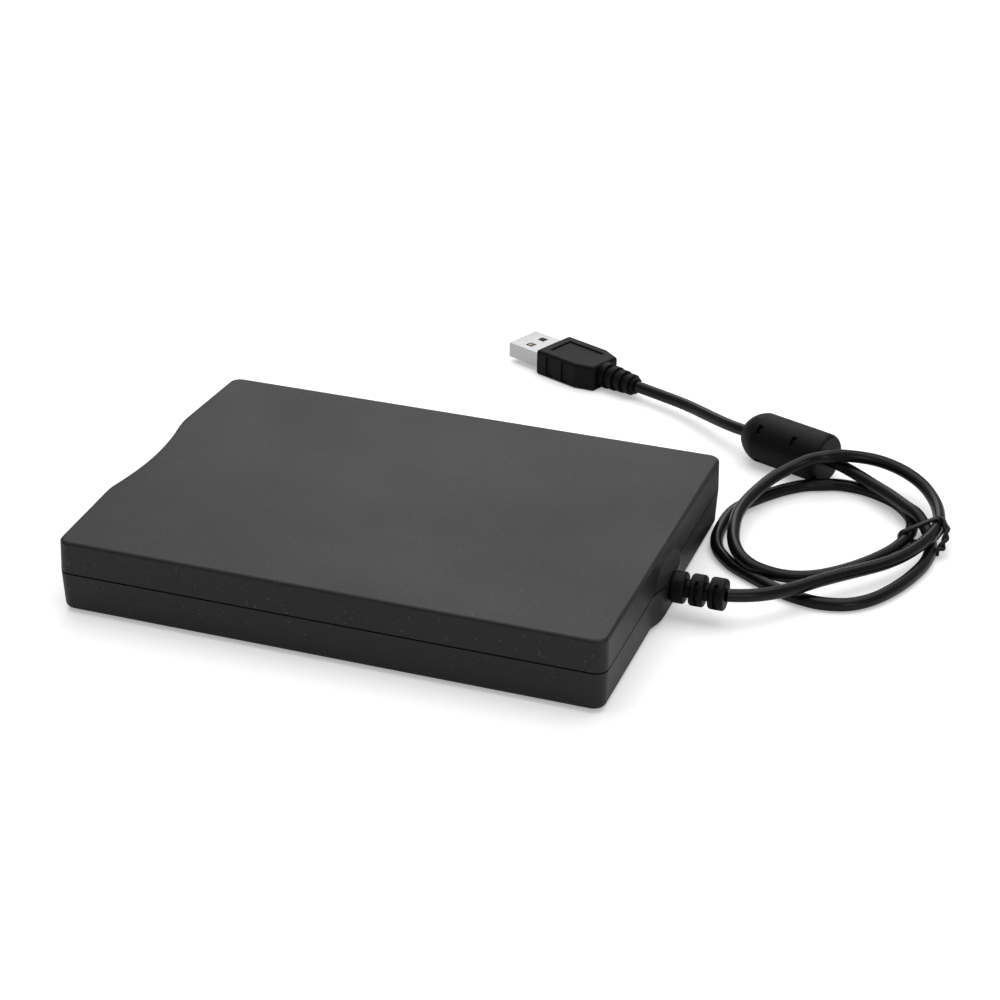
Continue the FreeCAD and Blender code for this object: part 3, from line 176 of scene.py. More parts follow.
def moulded_grain_group():
    """Spark-eroded mould grain with faint flow marks and a few light specks."""
    tree, graph, given, result = effect_group(
        "Moulded grain",
        [("Colour", "Color", (0.03, 0.03, 0.03, 1.0)), ("Roughness", "Float", 0.5),
         ("Grain size", "Float", 0.0004), ("Mottle", "Float", 0.12), ("Specks", "Float", 0.0)],
        SURFACE_OUTPUTS)
    place = graph.points()
    scale = graph.maths("DIVIDE", 1.0, given["Grain size"])
    cells = graph.add("TexVoronoi", {"Scale": scale, "Vector": place}, feature="SMOOTH_F1")
    fine = graph.noise(scale, 3.0, place)
    grain = graph.maths("ADD", graph.maths("MULTIPLY", cells.outputs["Distance"], 0.6),
                        graph.maths("MULTIPLY", fine, 0.6))
    cloud = graph.noise(35.0, 3.0, place)
    shade = graph.maths("MULTIPLY", graph.maths("SUBTRACT", cloud, 0.5), given["Mottle"])
    shade = graph.maths("ADD", shade, graph.maths("MULTIPLY", graph.maths("SUBTRACT", fine, 0.5), 0.25))
    tone = graph.add("HueSaturation", {"Value": graph.maths("ADD", 1.0, shade), "Color": given["Colour"]})
    speck_noise = graph.noise(1400.0, 0.0, place)
    speck = graph.maths("MULTIPLY", graph.spread(speck_noise, 0.74, 0.84), given["Specks"])
    graph.feed(result["Colour"], graph.mix(speck, tone.outputs["Color"], (0.1, 0.1, 0.1, 1.0)))
    rough = graph.maths("ADD", given["Roughness"],
                        graph.maths("MULTIPLY", graph.maths("SUBTRACT", cloud, 0.5), 0.14))
    graph.feed(result["Roughness"], rough)
    graph.feed(result["Height"], grain)
    return tree


def rolled_metal_group():
    """Drawn or rolled metal: long fine lines, faint stains and finger marks."""
    tree, graph, given, result = effect_group(
        "Rolled metal",
        [("Colour", "Color", (0.6, 0.6, 0.6, 1.0)), ("Roughness", "Float", 0.35),
         ("Line size", "Float", 0.0003), ("Stain", "Float", 0.2)],
        SURFACE_OUTPUTS)
    along = graph.points((1.0, 0.04, 1.0))
    scale = graph.maths("DIVIDE", 1.0, given["Line size"])
    lines = graph.noise(scale, 4.0, along)
    stain = graph.spread(graph.noise(60.0, 4.0, graph.points()), 0.42, 0.72)
    dark = graph.maths("SUBTRACT", 1.0, graph.maths("MULTIPLY", stain, given["Stain"]))
    dark = graph.maths("MULTIPLY", dark, graph.spread(lines, 0.2, 0.8, 0.9, 1.05))
    tone = graph.add("HueSaturation", {"Value": dark, "Color": given["Colour"]})
    graph.feed(result["Colour"], tone.outputs["Color"])
    rough = graph.maths("ADD", given["Roughness"], graph.maths("MULTIPLY", stain, 0.12))
    rough = graph.maths("ADD", rough, graph.maths("MULTIPLY", graph.maths("SUBTRACT", lines, 0.5), 0.2))
    graph.feed(result["Roughness"], rough)
    graph.feed(result["Height"], lines)
    return tree


def dust_group():
    """Settled dust: lightens what faces up, in patches."""
    tree, graph, given, result = effect_group(
        "Settled dust",
        [("Colour", "Color", (0.03, 0.03, 0.03, 1.0)), ("Amount", "Float", 0.05)],
        [("Colour", "Color")])
    up = graph.add("SeparateXYZ", {"Vector": graph.add("NewGeometry").outputs["Normal"]}).outputs["Z"]
    patch = graph.spread(graph.noise(90.0, 5.0, graph.points(), 0.6), 0.4, 0.75)
    patch = graph.maths("MULTIPLY", patch, given["Amount"])
    amount = graph.maths("MULTIPLY", graph.spread(up, 0.2, 1.0), patch)
    graph.feed(result["Colour"], graph.mix(amount, given["Colour"], (0.42, 0.41, 0.4, 1.0)))
    return tree


GROUPS = {}


def placed_group(graph, name, **values):
    node = graph.add("Group")
    node.node_tree = GROUPS[name]
    for key, value in values.items():
        graph.feed(node.inputs[key.replace("_", " ")], value)
    return node


def new_material(name):
    material = bpy.data.materials.new(name)
    material.use_nodes = True
    graph = Graph(material.node_tree)
    shader = next(node for node in material.node_tree.nodes if node.type == "BSDF_PRINCIPLED")
    return material, graph, shader


def opaque(colour):
    return (colour[0], colour[1], colour[2], 1.0)


def surface(surface_node, graph, shader, depth, dust=0.0):
    """Joins a surface group's outputs to the shader, with bump of a depth in metres."""
    colour = surface_node.outputs["Colour"]
    if dust:
        colour = placed_group(graph, "Settled dust", Colour=colour, Amount=dust).outputs["Colour"]
    graph.feed(shader.inputs["Base Color"], colour)
    graph.feed(shader.inputs["Roughness"], surface_node.outputs["Roughness"])
    bump = graph.add("Bump", {"Strength": 1.0, "Distance": depth, "Height": surface_node.outputs["Height"]})
    graph.feed(shader.inputs["Normal"], bump.outputs["Normal"])


def plastic(name, colour, roughness, grain=0.0004, depth=0.00001, mottle=0.12, specks=0.0, dust=0.0,
            shine=0.5, clear=0.0):
    material, graph, shader = new_material(name)
    node = placed_group(graph, "Moulded grain", Colour=opaque(colour), Roughness=roughness,
                        Grain_size=grain, Mottle=mottle, Specks=specks)
    surface(node, graph, shader, depth, dust)
    shader.inputs["IOR"].default_value = 1.5
    shader.inputs["Specular IOR Level"].default_value = shine
    shader.inputs["Transmission Weight"].default_value = clear
    return material


def metal(name, colour, roughness, lines=0.0003, depth=0.000004, stain=0.2):
    material, graph, shader = new_material(name)
    node = placed_group(graph, "Rolled metal", Colour=opaque(colour), Roughness=roughness,
                        Line_size=lines, Stain=stain)
    surface(node, graph, shader, depth)
    shader.inputs["Metallic"].default_value = 1.0
    return material


def circuit_board(name):
    """Green solder mask over copper tracks, with plated pads in rows."""
    material, graph, shader = new_material(name)
    place = graph.points()
    tracks = graph.add("TexVoronoi", {"Scale": 380.0, "Vector": place}, feature="F1", distance="CHEBYCHEV")
    track = graph.spread(tracks.outputs["Distance"], 0.3, 0.36)
    pads = graph.add("TexVoronoi", {"Scale": 230.0, "Randomness": 0.0, "Vector": place})
    kept = graph.spread(graph.noise(70.0, 0.0, place), 0.52, 0.54)
    pad = graph.maths("MULTIPLY", graph.spread(pads.outputs["Distance"], 0.2, 0.16), kept)
    green = graph.mix(track, (0.02, 0.1, 0.045, 1.0), (0.03, 0.2, 0.085, 1.0))
    graph.feed(shader.inputs["Base Color"], graph.mix(pad, green, (0.7, 0.68, 0.6, 1.0)))
    graph.feed(shader.inputs["Roughness"], graph.spread(pad, 0.0, 1.0, 0.35, 0.25))
    height = graph.maths("ADD", track, pad)
    bump = graph.add("Bump", {"Strength": 0.6, "Distance": 0.00004, "Height": height})
    graph.feed(shader.inputs["Normal"], bump.outputs["Normal"])
    return material


def wound_wire(name):
    """Enamelled copper wire, wound in fine turns."""
    material, graph, shader = new_material(name)
    waves = graph.add("TexWave", {"Scale": 900.0, "Distortion": 1.2, "Vector": graph.points()},
                      bands_direction="Z")
    fine = waves.outputs["Fac"]
    copper = graph.mix(fine, (0.22, 0.06, 0.02, 1.0), (0.62, 0.26, 0.11, 1.0))
    graph.feed(shader.inputs["Base Color"], copper)
    graph.feed(shader.inputs["Roughness"], graph.spread(fine, 0.0, 1.0, 0.5, 0.28))
    bump = graph.add("Bump", {"Strength": 1.0, "Distance": 0.00006, "Height": fine})
    graph.feed(shader.inputs["Normal"], bump.outputs["Normal"])
    shader.inputs["Metallic"].default_value = 0.8
    return material


MATERIALS = {}


def make_materials(scene):
    case = scene.floppy_case
    lead = scene.floppy_lead
    metals = scene.floppy_metal
    GROUPS["Moulded grain"] = moulded_grain_group()
    GROUPS["Rolled metal"] = rolled_metal_group()
    GROUPS["Settled dust"] = dust_group()
    MATERIALS.update({
        "case_black": plastic("Cover black", case.colour, case.roughness, case.grain, 0.000016,
                              mottle=0.2, specks=0.35, dust=0.004, shine=0.3),
        "bezel_black": plastic("Bezel black", (0.03, 0.03, 0.031), 0.48, 0.00035, 0.000014, 0.2, 0.25),
        "button_grey": plastic("Button grey", (0.06, 0.06, 0.062), 0.4, 0.0003, 0.000008),
        "flap_black": plastic("Flap black", (0.02, 0.02, 0.02), 0.42, 0.0003, 0.000008),
        "foot_rubber": plastic("Foot rubber", (0.012, 0.012, 0.012), 0.75, 0.0005, 0.00003),
        "screw_black": metal("Blackened screw", (0.05, 0.05, 0.055), 0.4),
        "screw_steel": metal("Screw steel", metals.bright, 0.32),
        "sheet_steel": metal("Sheet steel", metals.steel, 0.36, 0.0004, 0.000005, 0.3),
        "cast_steel": metal("Pressed steel", (0.52, 0.52, 0.5), 0.42, 0.0006, 0.000006, 0.35),
        "bright_steel": metal("Ground steel", metals.bright, 0.16, 0.0002, 0.000001, 0.1),
        "spring_steel": metal("Spring steel", (0.4, 0.4, 0.42), 0.3),
        "ceramic_black": plastic("Ferrite block", (0.04, 0.036, 0.036), 0.3, 0.0002, 0.000003),
        "magnet_black": plastic("Bonded magnet", (0.045, 0.043, 0.042), 0.6, 0.0002, 0.00001),
        "copper_wire": wound_wire("Copper winding"),
        "bronze": metal("Sintered bronze", (0.5, 0.33, 0.15), 0.45, 0.0003, 0.00001),
        "gold": metal("Plated contact", (0.5, 0.44, 0.33), 0.3, 0.0002, 0.000002, 0.2),
        "board_green": circuit_board("Circuit board"),
        "chip_black": plastic("Chip moulding", (0.02, 0.02, 0.021), 0.55, 0.00015, 0.000008),
        "solder_tin": metal("Tinned lead", (0.7, 0.7, 0.68), 0.35),
        "aluminium_can": metal("Drawn can", (0.75, 0.75, 0.76), 0.28, 0.0004, 0.000003, 0.12),
        "white_plastic": plastic("Natural nylon", (0.72, 0.71, 0.66), 0.4, 0.0005, 0.000006),
        "carriage_black": plastic("Carriage moulding", (0.028, 0.028, 0.03), 0.45, 0.0003, 0.000008),
        "ribbon_amber": plastic("Ribbon film", (0.42, 0.18, 0.04), 0.22, 0.0008, 0.000003),
        "lamp_green": plastic("Lamp lens", (0.1, 0.45, 0.16), 0.15, 0.0008, 0.000002, clear=0.55),
        "cord_black": plastic("Lead jacket", lead.colour, lead.roughness, 0.0009, 0.000006,
                              mottle=0.2, shine=0.22),
        "mould_black": plastic("Soft moulding", (0.0034, 0.0034, 0.0036), 0.46, 0.0004, 0.000012,
                               mottle=0.2, shine=0.12),
        "plug_steel": metal("Nickel shell", (0.5, 0.5, 0.51), 0.34, 0.0004, 0.000003, 0.35),
    })


def dress(piece, slot, body=BODY, replaced=()):
    """Gives a new piece its finish and its body, and hides the nodes that it stands for."""
    piece.data.materials.clear()
    piece.data.materials.append(MATERIALS[slot])
    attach(piece, body)
    if replaced:
        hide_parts(*replaced)
    return piece


def linked(name, data):
    piece = bpy.data.objects.new(name, data)
    bpy.context.scene.collection.objects.link(piece)
    return piece


def smooth(mesh, degrees=35.0):
    mesh.polygons.foreach_set("use_smooth", [True] * len(mesh.polygons))
    mesh.set_sharp_from_angle(angle=math.radians(degrees))
    return mesh


def skinned(name, rings, closed=False, degrees=35.0):
    """A mesh skinned over rings of points that all hold the same number."""
    mesh = bpy.data.meshes.new(name)
    bm = bmesh.new()
    rows = [[bm.verts.new(point) for point in ring] for ring in rings]
    count = len(rows[0])
    pairs = list(zip(rows, rows[1:])) + ([(rows[-1], rows[0])] if closed else [])
    for lower, upper in pairs:
        for i in range(count):
            j = (i + 1) % count
            bm.faces.new((lower[i], lower[j], upper[j], upper[i]))
    if not closed:
        bm.faces.new(list(reversed(rows[0])))
        bm.faces.new(rows[-1])
    bmesh.ops.recalc_face_normals(bm, faces=bm.faces)
    bm.to_mesh(mesh)
    bm.free()
    return linked(name, smooth(mesh, degrees))


def rounded_section(half_width, half_height, radius, steps=6):
    """Points of a rounded rectangle, anticlockwise."""
    radius = min(radius, half_width, half_height)
    points = []
    for quarter, (sx, sy) in enumerate(((1, 1), (-1, 1), (-1, -1), (1, -1))):
        for step in range(steps + 1):
            angle = math.pi / 2 * (quarter + step / steps)
            points.append((sx * (half_width - radius) + radius * math.cos(angle),
                           sy * (half_height - radius) + radius * math.sin(angle)))
    return points


def barrel(name, foot, axis, side, places, radius_at, count=48):
    """A round piece along an axis; its radius, in millimetres, changes with place and angle."""
    foot = Vector(foot)
    axis = Vector(axis).normalized()
    side = Vector(side).normalized()
    up = side.cross(axis)
    if up.z < 0:
        up.negate()
    rings = []
    for place in places:
        ring = []
        for step in range(count):
            angle = 2 * math.pi * step / count
            outward = side * math.cos(angle) + up * math.sin(angle)
            ring.append((foot + axis * place + outward * radius_at(place, angle)) * MM)
        rings.append(ring)
    return skinned(name, rings, degrees=28.0)


def stepped(length, spacing, edges, lip=0.03):
    """Even places along a length, with a close pair at each sharp edge."""
    places = [spacing * step for step in range(int(length / spacing) + 1)] + [length]
    for edge in edges:
        places = [place for place in places if abs(place - edge) > 2 * lip] + [edge - lip, edge + lip]
    return sorted(set(places))


def inside(value, spans):
    return any(low < value < high for low, high in spans)


# The lead: its whole line in millimetres, from the strain relief to the plug

LEAD_ROUTE = [
    (0, 85.9, 8.0), (-2.3, 90.9, 7.5), (-7.4, 96.3, 6.8), (-13.2, 100.8, 6.2),
    (-19.3, 105.0, 5.9), (-24.3, 109.0, 5.6), (-29.3, 113.4, 5.4), (-34.3, 117.8, 5.2), (-39.5, 121.2, 5.1),
    (-44.4, 123.6, 5.1), (-50.5, 125.8, 5.1), (-57, 127.3, 5.1), (-63.8, 127.6, 5.1),
    (-71.3, 125.7, 5.2), (-77.2, 122.9, 5.5), (-81.9, 119.6, 6.0), (-85, 115.9, 6.6), (-86.7, 112.2, 7.3),
    (-87.2, 108.1, 8.2), (-86.6, 104.3, 9.0), (-84.9, 99.9, 9.8), (-82, 95.5, 10.8), (-79.1, 92.2, 11.0),
    (-78, 88.4, 10.0), (-75.5, 85.4, 8.8), (-72.4, 82.6, 7.8), (-68.7, 80.4, 7.0), (-64.2, 78.8, 6.4),
    (-59, 77.4, 5.9), (-53.9, 76.5, 5.5), (-48.2, 76.3, 5.2), (-41.7, 77.2, 5.1), (-34.5, 78.8, 5.1),
    (-29.9, 80.8, 5.0), (-26.5, 83, 4.8), (-23.9, 86.6, 4.2),
    (-24.2, 89.8, 3.2), (-24.7, 93.9, 2.4), (-26.4, 98.7, 1.9), (-29.4, 103.3, 1.7), (-33.6, 107.6, 1.7),
    (-38.6, 111.7, 1.7), (-45, 115.7, 1.7), (-51.5, 118.8, 1.7), (-58.7, 120.4, 1.7), (-64.8, 120.5, 1.7),
    (-70.3, 118.9, 1.7), (-74.8, 115.8, 1.7), (-78.2, 112.2, 1.7), (-80.3, 108.4, 1.7), (-82, 104.5, 1.7),
    (-82.6, 100.2, 1.7), (-82.4, 96, 1.7), (-80.6, 92.1, 1.7), (-79.2, 88.6, 1.7), (-76.3, 85.1, 1.7),
    (-72.8, 82, 1.7), (-68, 78.7, 1.7), (-63.5, 76, 1.7), (-58.1, 73.5, 1.7), (-52.5, 72.6, 1.7),
    (-46.2, 72.6, 1.7), (-40, 73.0, 1.7), (-34.2, 74.8, 1.7), (-30.1, 77.8, 1.7), (-26.7, 81, 1.7),
    (-24.1, 84.9, 1.7), (-21.7, 88.9, 1.7), (-19.3, 92.9, 1.7), (-17.2, 97, 1.7), (-16, 101.2, 1.7),
    (-15.3, 105.2, 1.7), (-15.7, 109, 1.7), (-16.8, 112.6, 1.7), (-19.1, 115.9, 1.7), (-22.7, 119, 1.7),
    (-27.3, 121.6, 1.7), (-32.6, 123.9, 1.7), (-38.5, 125.8, 1.7), (-45.4, 127.4, 1.7), (-52.5, 127.6, 1.7),
    (-58.9, 126.4, 1.9),
    (-63.6, 123.8, 3.2), (-66.4, 121, 5.1), (-68.6, 118.1, 5.1), (-72, 114.7, 5.1), (-75.4, 111.1, 5.1),
    (-78.2, 107.5, 5.1), (-80.7, 104.2, 5.3), (-82.6, 101, 5.7), (-84, 98.1, 6.2), (-84.7, 95.4, 6.8),
    (-85.6, 92.5, 7.1), (-88.8, 84.2, 7.1), (-92.0, 75.9, 7.1),
    (-95.2, 67.6, 7.1), (-98.6, 61.4, 6.5), (-104.8, 53.9, 5.4), (-112.0, 45.2, 4.4), (-117.2, 34.8, 4.0),
    (-120.3, 27.4, 4.0),
]


def route_curve(name, route, radius):
    """A smooth NURBS line with the route's points as its control points."""
    curve = bpy.data.curves.new(name, "CURVE")
    curve.dimensions = "3D"
    curve.resolution_u = 6
    curve.bevel_depth = radius
    curve.bevel_resolution = 5
    curve.use_fill_caps = True
    spline = curve.splines.new("NURBS")
    spline.points.add(len(route) - 1)
    for point, place in zip(spline.points, route):
        point.co = (place[0] * MM, place[1] * MM, place[2] * MM, 1.0)
    spline.order_u = 3
    spline.use_endpoint_u = True
    return linked(name, curve)


# The lead's mouldings and the lead screw, in millimetres

RELIEF_FOOT = (0.0, 72.1, 8.0)
RELIEF_LENGTH = 13.8
RELIEF_RADIUS = 4.1
RELIEF_CORE = 2.2
RELIEF_WEB = 3.2
RELIEF_WEB_REACH = 0.94
RELIEF_GAPS = ((3.6, 4.9), (8.5, 9.8))
RELIEF_SLOT_FLOOR = 2.9
RELIEF_SLOT_REACH = 0.55
RELIEF_SLOTS = ((6.3, 7.2), (11.2, 12.2))
RELIEF_EDGE = 0.6
RELIEF_EDGE_DROP = 0.35

BEAD_FOOT = (-95.2, 67.6, 7.1)
BEAD_AXIS = (0.3597, 0.9331, 0.0)
BEAD_SIDE = (0.9331, -0.3597, 0.0)
BEAD_LENGTH = 26.7
BEAD_WINDOWS = ((6.2, 7.7), (17.4, 18.9))
BEAD_WINDOW_DEPTH = 0.9
BEAD_ROWS = (43.0, 133.0, 223.0, 313.0)
BEAD_ROW_REACH = 11.0
BEAD_FORM = ((0.0, 3.9), (0.9, 4.9), (2.3, 6.0), (3.7, 6.7), (5.0, 7.1),
             (25.2, 7.1), (26.2, 6.9), (26.7, 6.4))

SCREW_FOOT = (-14.0, 30.0, 10.4)
SCREW_LENGTH = 23.6
SCREW_RADIUS = 2.0
SCREW_END_RADIUS = 1.0
THREAD = (31.3, 47.1)
THREAD_PITCH = 3.75
THREAD_DEPTH = 0.7
THREAD_SHARE = 0.4


def relief_radius(place, angle):
    """Three soft-edged blocks on a core, with webs across the gaps and slots in their sides."""
    to_side = abs(math.cos(angle))
    if inside(place, RELIEF_GAPS):
        return RELIEF_WEB if to_side > RELIEF_WEB_REACH else RELIEF_CORE
    if inside(place, RELIEF_SLOTS) and to_side > RELIEF_SLOT_REACH:
        return RELIEF_SLOT_FLOOR
    ends = [0.0, RELIEF_LENGTH] + [edge for gap in RELIEF_GAPS for edge in gap]
    close = min(abs(place - end) for end in ends)
    return RELIEF_RADIUS - RELIEF_EDGE_DROP * max(0.0, 1.0 - close / RELIEF_EDGE) ** 2


def bead_radius(place, angle):
    """A barrel with one domed end, and small windows in rows round it."""
    for (low, small), (high, large) in zip(BEAD_FORM, BEAD_FORM[1:]):
        if place <= high:
            radius = small + (large - small) * (place - low) / (high - low)
            break
    else:
        radius = BEAD_FORM[-1][1]
    turn = math.degrees(angle)
    near = any(abs((turn - row + 180.0) % 360.0 - 180.0) < BEAD_ROW_REACH for row in BEAD_ROWS)
    return radius - BEAD_WINDOW_DEPTH if near and inside(place, BEAD_WINDOWS) else radius


def thread_radius(place, angle):
    """The lead screw at a place along it: plain ends, and one round groove wound between them."""
    place += SCREW_FOOT[1]
    if not THREAD[0] < place < THREAD[1]:
        return SCREW_END_RADIUS
    across = (place / THREAD_PITCH - angle / (2 * math.pi)) % 1.0 - 0.5
    if abs(across) >= THREAD_SHARE / 2:
        return SCREW_RADIUS
    return SCREW_RADIUS - THREAD_DEPTH * math.cos(math.pi * across / THREAD_SHARE)


def helix(name, centre, start, end, turns, coil_radius, wire_radius, steps=18, sides=6):
    """A coil spring along Y."""
    rings = []
    total = turns * steps
    for step in range(total + 1):
        angle = 2 * math.pi * step / steps
        outward = Vector((math.cos(angle), 0.0, math.sin(angle)))
        middle = Vector((centre[0], start + (end - start) * step / total, centre[1])) + outward * coil_radius
        ring = []
        for side in range(sides):
            turn = 2 * math.pi * side / sides
            ring.append((middle + outward * wire_radius * math.cos(turn)
                         + Vector((0.0, wire_radius * math.sin(turn), 0.0))) * MM)
        rings.append(ring)
    return skinned(name, rings, degrees=60.0)


SPRING_X = 38.6
SPRING_Z = 7.35
SPRING_ENDS = (-19.8, 5.8)
SPRING_TURNS = 17
SPRING_RADIUS = 0.72
SPRING_WIRE = 0.17


class FLOPPY_OT_relief(bpy.types.Operator):
    """Mould the strain relief with its gaps and slots"""
    bl_idname = "floppy.relief"
    bl_label = "Strain relief"

    def execute(self, context):
        edges = [edge for span in RELIEF_GAPS + RELIEF_SLOTS for edge in span]
        places = stepped(RELIEF_LENGTH, 0.3, edges)
        piece = barrel("relief_moulding", RELIEF_FOOT, (0, 1, 0), (1, 0, 0), places, relief_radius, 64)
        dress(piece, "mould_black", replaced=("strain_relief",))
        return {"FINISHED"}


class FLOPPY_OT_bead(bpy.types.Operator):
    """Mould the ferrite bead's barrel with its windows"""
    bl_idname = "floppy.bead"
    bl_label = "Ferrite bead"

    def execute(self, context):
        edges = [edge for span in BEAD_WINDOWS for edge in span]
        places = stepped(BEAD_LENGTH, 0.5, edges)
        piece = barrel("bead_moulding", BEAD_FOOT, BEAD_AXIS, BEAD_SIDE, places, bead_radius, 72)
        dress(piece, "mould_black", replaced=("ferrite_bead",))
        return {"FINISHED"}


class FLOPPY_OT_springs(bpy.types.Operator):
    """Wind the two eject springs"""
    bl_idname = "floppy.springs"
    bl_label = "Eject springs"

    def execute(self, context):
        for side, sign in (("left", -1), ("right", 1)):
            spring = helix("spring_coil_" + side, (SPRING_X * sign, SPRING_Z), *SPRING_ENDS, SPRING_TURNS,
                           SPRING_RADIUS, SPRING_WIRE)
            dress(spring, "spring_steel", replaced=("eject_spring_" + side,))
            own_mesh(spring)
        return {"FINISHED"}


class FLOPPY_OT_thread(bpy.types.Operator):
    """Cut the groove that the head carriage follows"""
    bl_idname = "floppy.thread"
    bl_label = "Lead screw"

    def execute(self, context):
        places = stepped(SCREW_LENGTH, 0.2, [end - SCREW_FOOT[1] for end in THREAD])
        screw = barrel("screw_thread", SCREW_FOOT, (0, 1, 0), (1, 0, 0), places, thread_radius, 40)
        dress(screw, "bright_steel", body="screw", replaced=("lead_screw",))
        return {"FINISHED"}


TIE_STRANDS = ((120.3, 1.75), (125.6, 2.4), (127.3, 5.1))
TIE_MIDDLE = (-60.0, 124.2)
TIE_LEAN = 0.45
TIE_LOWEST = 0.45
TIE_HALF_WIDTH = 0.75
TIE_HALF_THICK = 0.4
TIE_TAIL = ((-61.6, 127.2, 7.3), (-60.5, 129.3, 6.7), (-58.5, 130.4, 5.7), (-56.3, 130.6, 4.7),
            (-54.6, 130.4, 3.7), (-53.0, 130.0, 2.7), (-52.2, 128.9, 1.8))
TAIL_RADIUS = 0.55
TAIL_STEPS = 48
TAIL_STEPS_A_TURN = 26
TAIL_SPREAD = 0.42


class FLOPPY_OT_tie(bpy.types.Operator):
    """Wrap the coil's strands with a covered wire tie and twist its ends"""
    bl_idname = "floppy.tie"
    bl_label = "Twist tie"

    def execute(self, context):
        reach = context.scene.floppy_lead.diameter / MM / 2 + TIE_HALF_THICK
        steps = 72
        rings = []
        for step in range(steps):
            angle = 2 * math.pi * step / steps
            outward = Vector((0.0, math.cos(angle), math.sin(angle)))
            y, z = max(TIE_STRANDS, key=lambda strand: strand[0] * outward.y + strand[1] * outward.z)
            y, z = y + reach * outward.y, max(z + reach * outward.z, TIE_LOWEST)
            middle = Vector((TIE_MIDDLE[0] - TIE_LEAN * (y - TIE_MIDDLE[1]), y, z))
            rings.append([(middle + Vector((u, TIE_LEAN * u, 0.0)) + outward * v) * MM
                          for u, v in rounded_section(TIE_HALF_WIDTH, TIE_HALF_THICK, 0.38, 3)])
        band = skinned("tie_band", rings, closed=True)
        dress(band, "cord_black")
        for strand in range(2):
            tail = route_curve("tie_tail_%d" % strand, self.tail_line(strand), TAIL_RADIUS * MM)
            dress(tail, "cord_black")
        return {"FINISHED"}

    def tail_line(self, strand):
        """One of the two ends, wound round the tail's middle line and loosening towards its tip."""
        points = [Vector(place) for place in TIE_TAIL]
        line = []
        for number in range(TAIL_STEPS + 1):
            along = number / TAIL_STEPS * (len(points) - 1)
            index = min(int(along), len(points) - 2)
            place = points[index].lerp(points[index + 1], along - index)
            turn = 2 * math.pi * (number / TAIL_STEPS_A_TURN + strand / 2)
            spread = TAIL_SPREAD + 0.1 * max(0.0, along - 3.0)
            line.append(tuple(place + Vector((0.0, math.cos(turn), math.sin(turn))) * spread))
        return line


class FLOPPY_OT_finishes(bpy.types.Operator):
    """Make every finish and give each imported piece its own"""
    bl_idname = "floppy.finishes"
    bl_label = "Finishes"

    def execute(self, context):
        make_materials(context.scene)
        for entry in frame["record"]["subparts"]:
            node = frame["nodes"][entry["node"]]
            node.data.materials.clear()
            node.data.materials.append(MATERIALS[entry["material_slot"]])
            smooth(node.data, 28.0)
        return {"FINISHED"}


class FLOPPY_OT_lead(bpy.types.Operator):
    """Lay the lead along its whole route"""
    bl_idname = "floppy.lead"
    bl_label = "Lead"

    def execute(self, context):
        settings = context.scene.floppy_lead
        lead = route_curve("lead_cord", LEAD_ROUTE, settings.diameter / 2)
        dress(lead, "cord_black", replaced=("cord_tail", "cord_coil", "cord_lead"))
        carried = [frame["nodes"][name] for name in ("plug_grip", "plug_shell", "plug_tongue",
                                                     "plug_contacts")]
        carried += [bpy.data.objects[name] for name in ("bead_moulding", "relief_moulding")]
        return {"FINISHED"}


CAMERA_PLACE = (0.53177, 0.20796, 0.31081)
CAMERA_AXES = ((-0.32976, -0.42560, 0.84270), (0.94398, -0.16175, 0.28770), (0.01387, 0.89035, 0.45508))
FLOOR_GLOW = 0.34


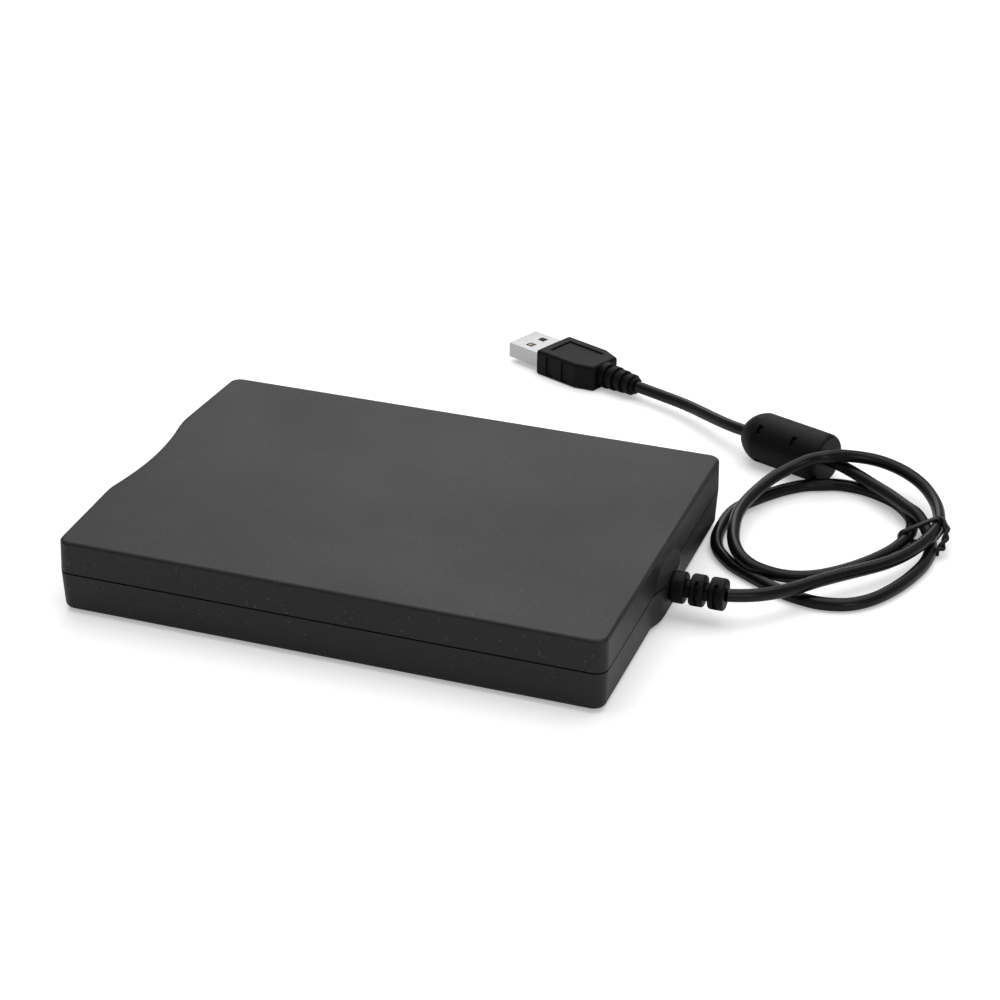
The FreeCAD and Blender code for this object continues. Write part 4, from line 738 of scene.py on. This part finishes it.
class FLOPPY_OT_stage(bpy.types.Operator):
    """Set the camera, the pale floor and the soft studio lights"""
    bl_idname = "floppy.stage"
    bl_label = "Stage"

    def execute(self, context):
        scene = context.scene
        settings = scene.floppy_stage
        scene.view_settings.view_transform = "Standard"
        camera = bpy.data.cameras.new("Camera")
        camera.lens = settings.lens
        camera.sensor_width = 36.0
        camera.clip_start = 0.01
        view = linked("Camera", camera)
        view.matrix_world = Matrix.Translation(CAMERA_PLACE) @ Matrix(CAMERA_AXES).to_4x4()
        scene.camera = view
        self.floor(settings)
        self.surround(scene, settings)
        lights = (("Key", (-0.25, 0.0, 1.25), (1.5, 1.5), settings.key_power),
                  ("Back", (-1.3, -0.4, 0.78), (0.8, 0.5), settings.back_power),
                  ("Side", (0.4, 0.6, 0.3), (0.25, 0.25), settings.side_power))
        for name, place, spread, power in lights:
            lamp = bpy.data.lights.new(name, "AREA")
            lamp.shape = "RECTANGLE"
            lamp.size, lamp.size_y = spread
            lamp.energy = power
            light = linked(name, lamp)
            light.location = place
            light.rotation_euler = (-Vector(place)).to_track_quat("-Z", "Y").to_euler()
        return {"FINISHED"}

    def floor(self, settings):
        half = settings.floor_size / 2
        mesh = bpy.data.meshes.new("floor")
        mesh.from_pydata([(-half, -half, 0), (half, -half, 0), (half, half, 0), (-half, half, 0)], [],
                         [(0, 1, 2, 3)])
        floor = linked("floor", mesh)
        material, graph, shader = new_material("Pale floor")
        shader.inputs["Base Color"].default_value = opaque(settings.floor_colour)
        shader.inputs["Roughness"].default_value = 0.85
        shader.inputs["Specular IOR Level"].default_value = 0.1
        glow = graph.add("Emission", {"Color": (1.0, 1.0, 1.0, 1.0)})
        path = graph.add("LightPath")
        seen = graph.maths("MULTIPLY", path.outputs["Is Camera Ray"], FLOOR_GLOW)
        graph.feed(glow.inputs["Strength"], seen)
        total = graph.add("AddShader")
        graph.feed(total.inputs[0], shader.outputs["BSDF"])
        graph.feed(total.inputs[1], glow.outputs["Emission"])
        output = next(node for node in material.node_tree.nodes if node.type == "OUTPUT_MATERIAL")
        graph.feed(output.inputs["Surface"], total.outputs["Shader"])
        mesh.materials.append(material)

    def surround(self, scene, settings):
        world = bpy.data.worlds.new("Surround")
        world.use_nodes = True
        scene.world = world
        graph = Graph(world.node_tree)
        back = next(node for node in world.node_tree.nodes if node.type == "BACKGROUND")
        back.inputs["Color"].default_value = (1.0, 1.0, 1.0, 1.0)
        path = graph.add("LightPath")
        seen = graph.maths("MAXIMUM", path.outputs["Is Camera Ray"], path.outputs["Is Transmission Ray"])
        graph.feed(back.inputs["Strength"], graph.spread(seen, 0.0, 1.0, settings.sky, 1.0))


class FLOPPY_PT_panel(bpy.types.Panel):
    """Lists the drive's pieces and settings"""
    bl_idname = "FLOPPY_PT_panel"
    bl_label = "Floppy Drive"
    bl_space_type = "VIEW_3D"
    bl_region_type = "UI"
    bl_category = "Floppy Drive"

    def draw(self, context):
        scene = context.scene
        for group in (scene.floppy_stage, scene.floppy_case, scene.floppy_lead, scene.floppy_metal):
            box = self.layout.box()
            for name in group.bl_rna.properties.keys():
                if name not in ("rna_type", "name"):
                    box.prop(group, name)
        for operator in OPERATORS:
            self.layout.operator(operator.bl_idname)


OPERATORS = [FLOPPY_OT_stage, FLOPPY_OT_finishes, FLOPPY_OT_relief, FLOPPY_OT_bead, FLOPPY_OT_lead,
             FLOPPY_OT_tie, FLOPPY_OT_springs, FLOPPY_OT_thread]
SETTINGS = {
    "floppy_stage": FloppyStageSettings,
    "floppy_case": FloppyCaseSettings,
    "floppy_lead": FloppyLeadSettings,
    "floppy_metal": FloppyMetalSettings,
}


def register():
    for group in SETTINGS.values():
        bpy.utils.register_class(group)
    for name, group in SETTINGS.items():
        setattr(bpy.types.Scene, name, PointerProperty(type=group))
    for item in OPERATORS + [FLOPPY_PT_panel]:
        bpy.utils.register_class(item)


def unregister():
    for item in reversed(OPERATORS + [FLOPPY_PT_panel]):
        bpy.utils.unregister_class(item)
    for name in SETTINGS:
        delattr(bpy.types.Scene, name)
    for group in reversed(list(SETTINGS.values())):
        bpy.utils.unregister_class(group)


def main():
    register()
    for operator in OPERATORS:
        call = getattr(bpy.ops.floppy, operator.bl_idname.split(".")[1])
        call()
    bpy.context.view_layer.update()


if __name__ == "__main__":
    main()
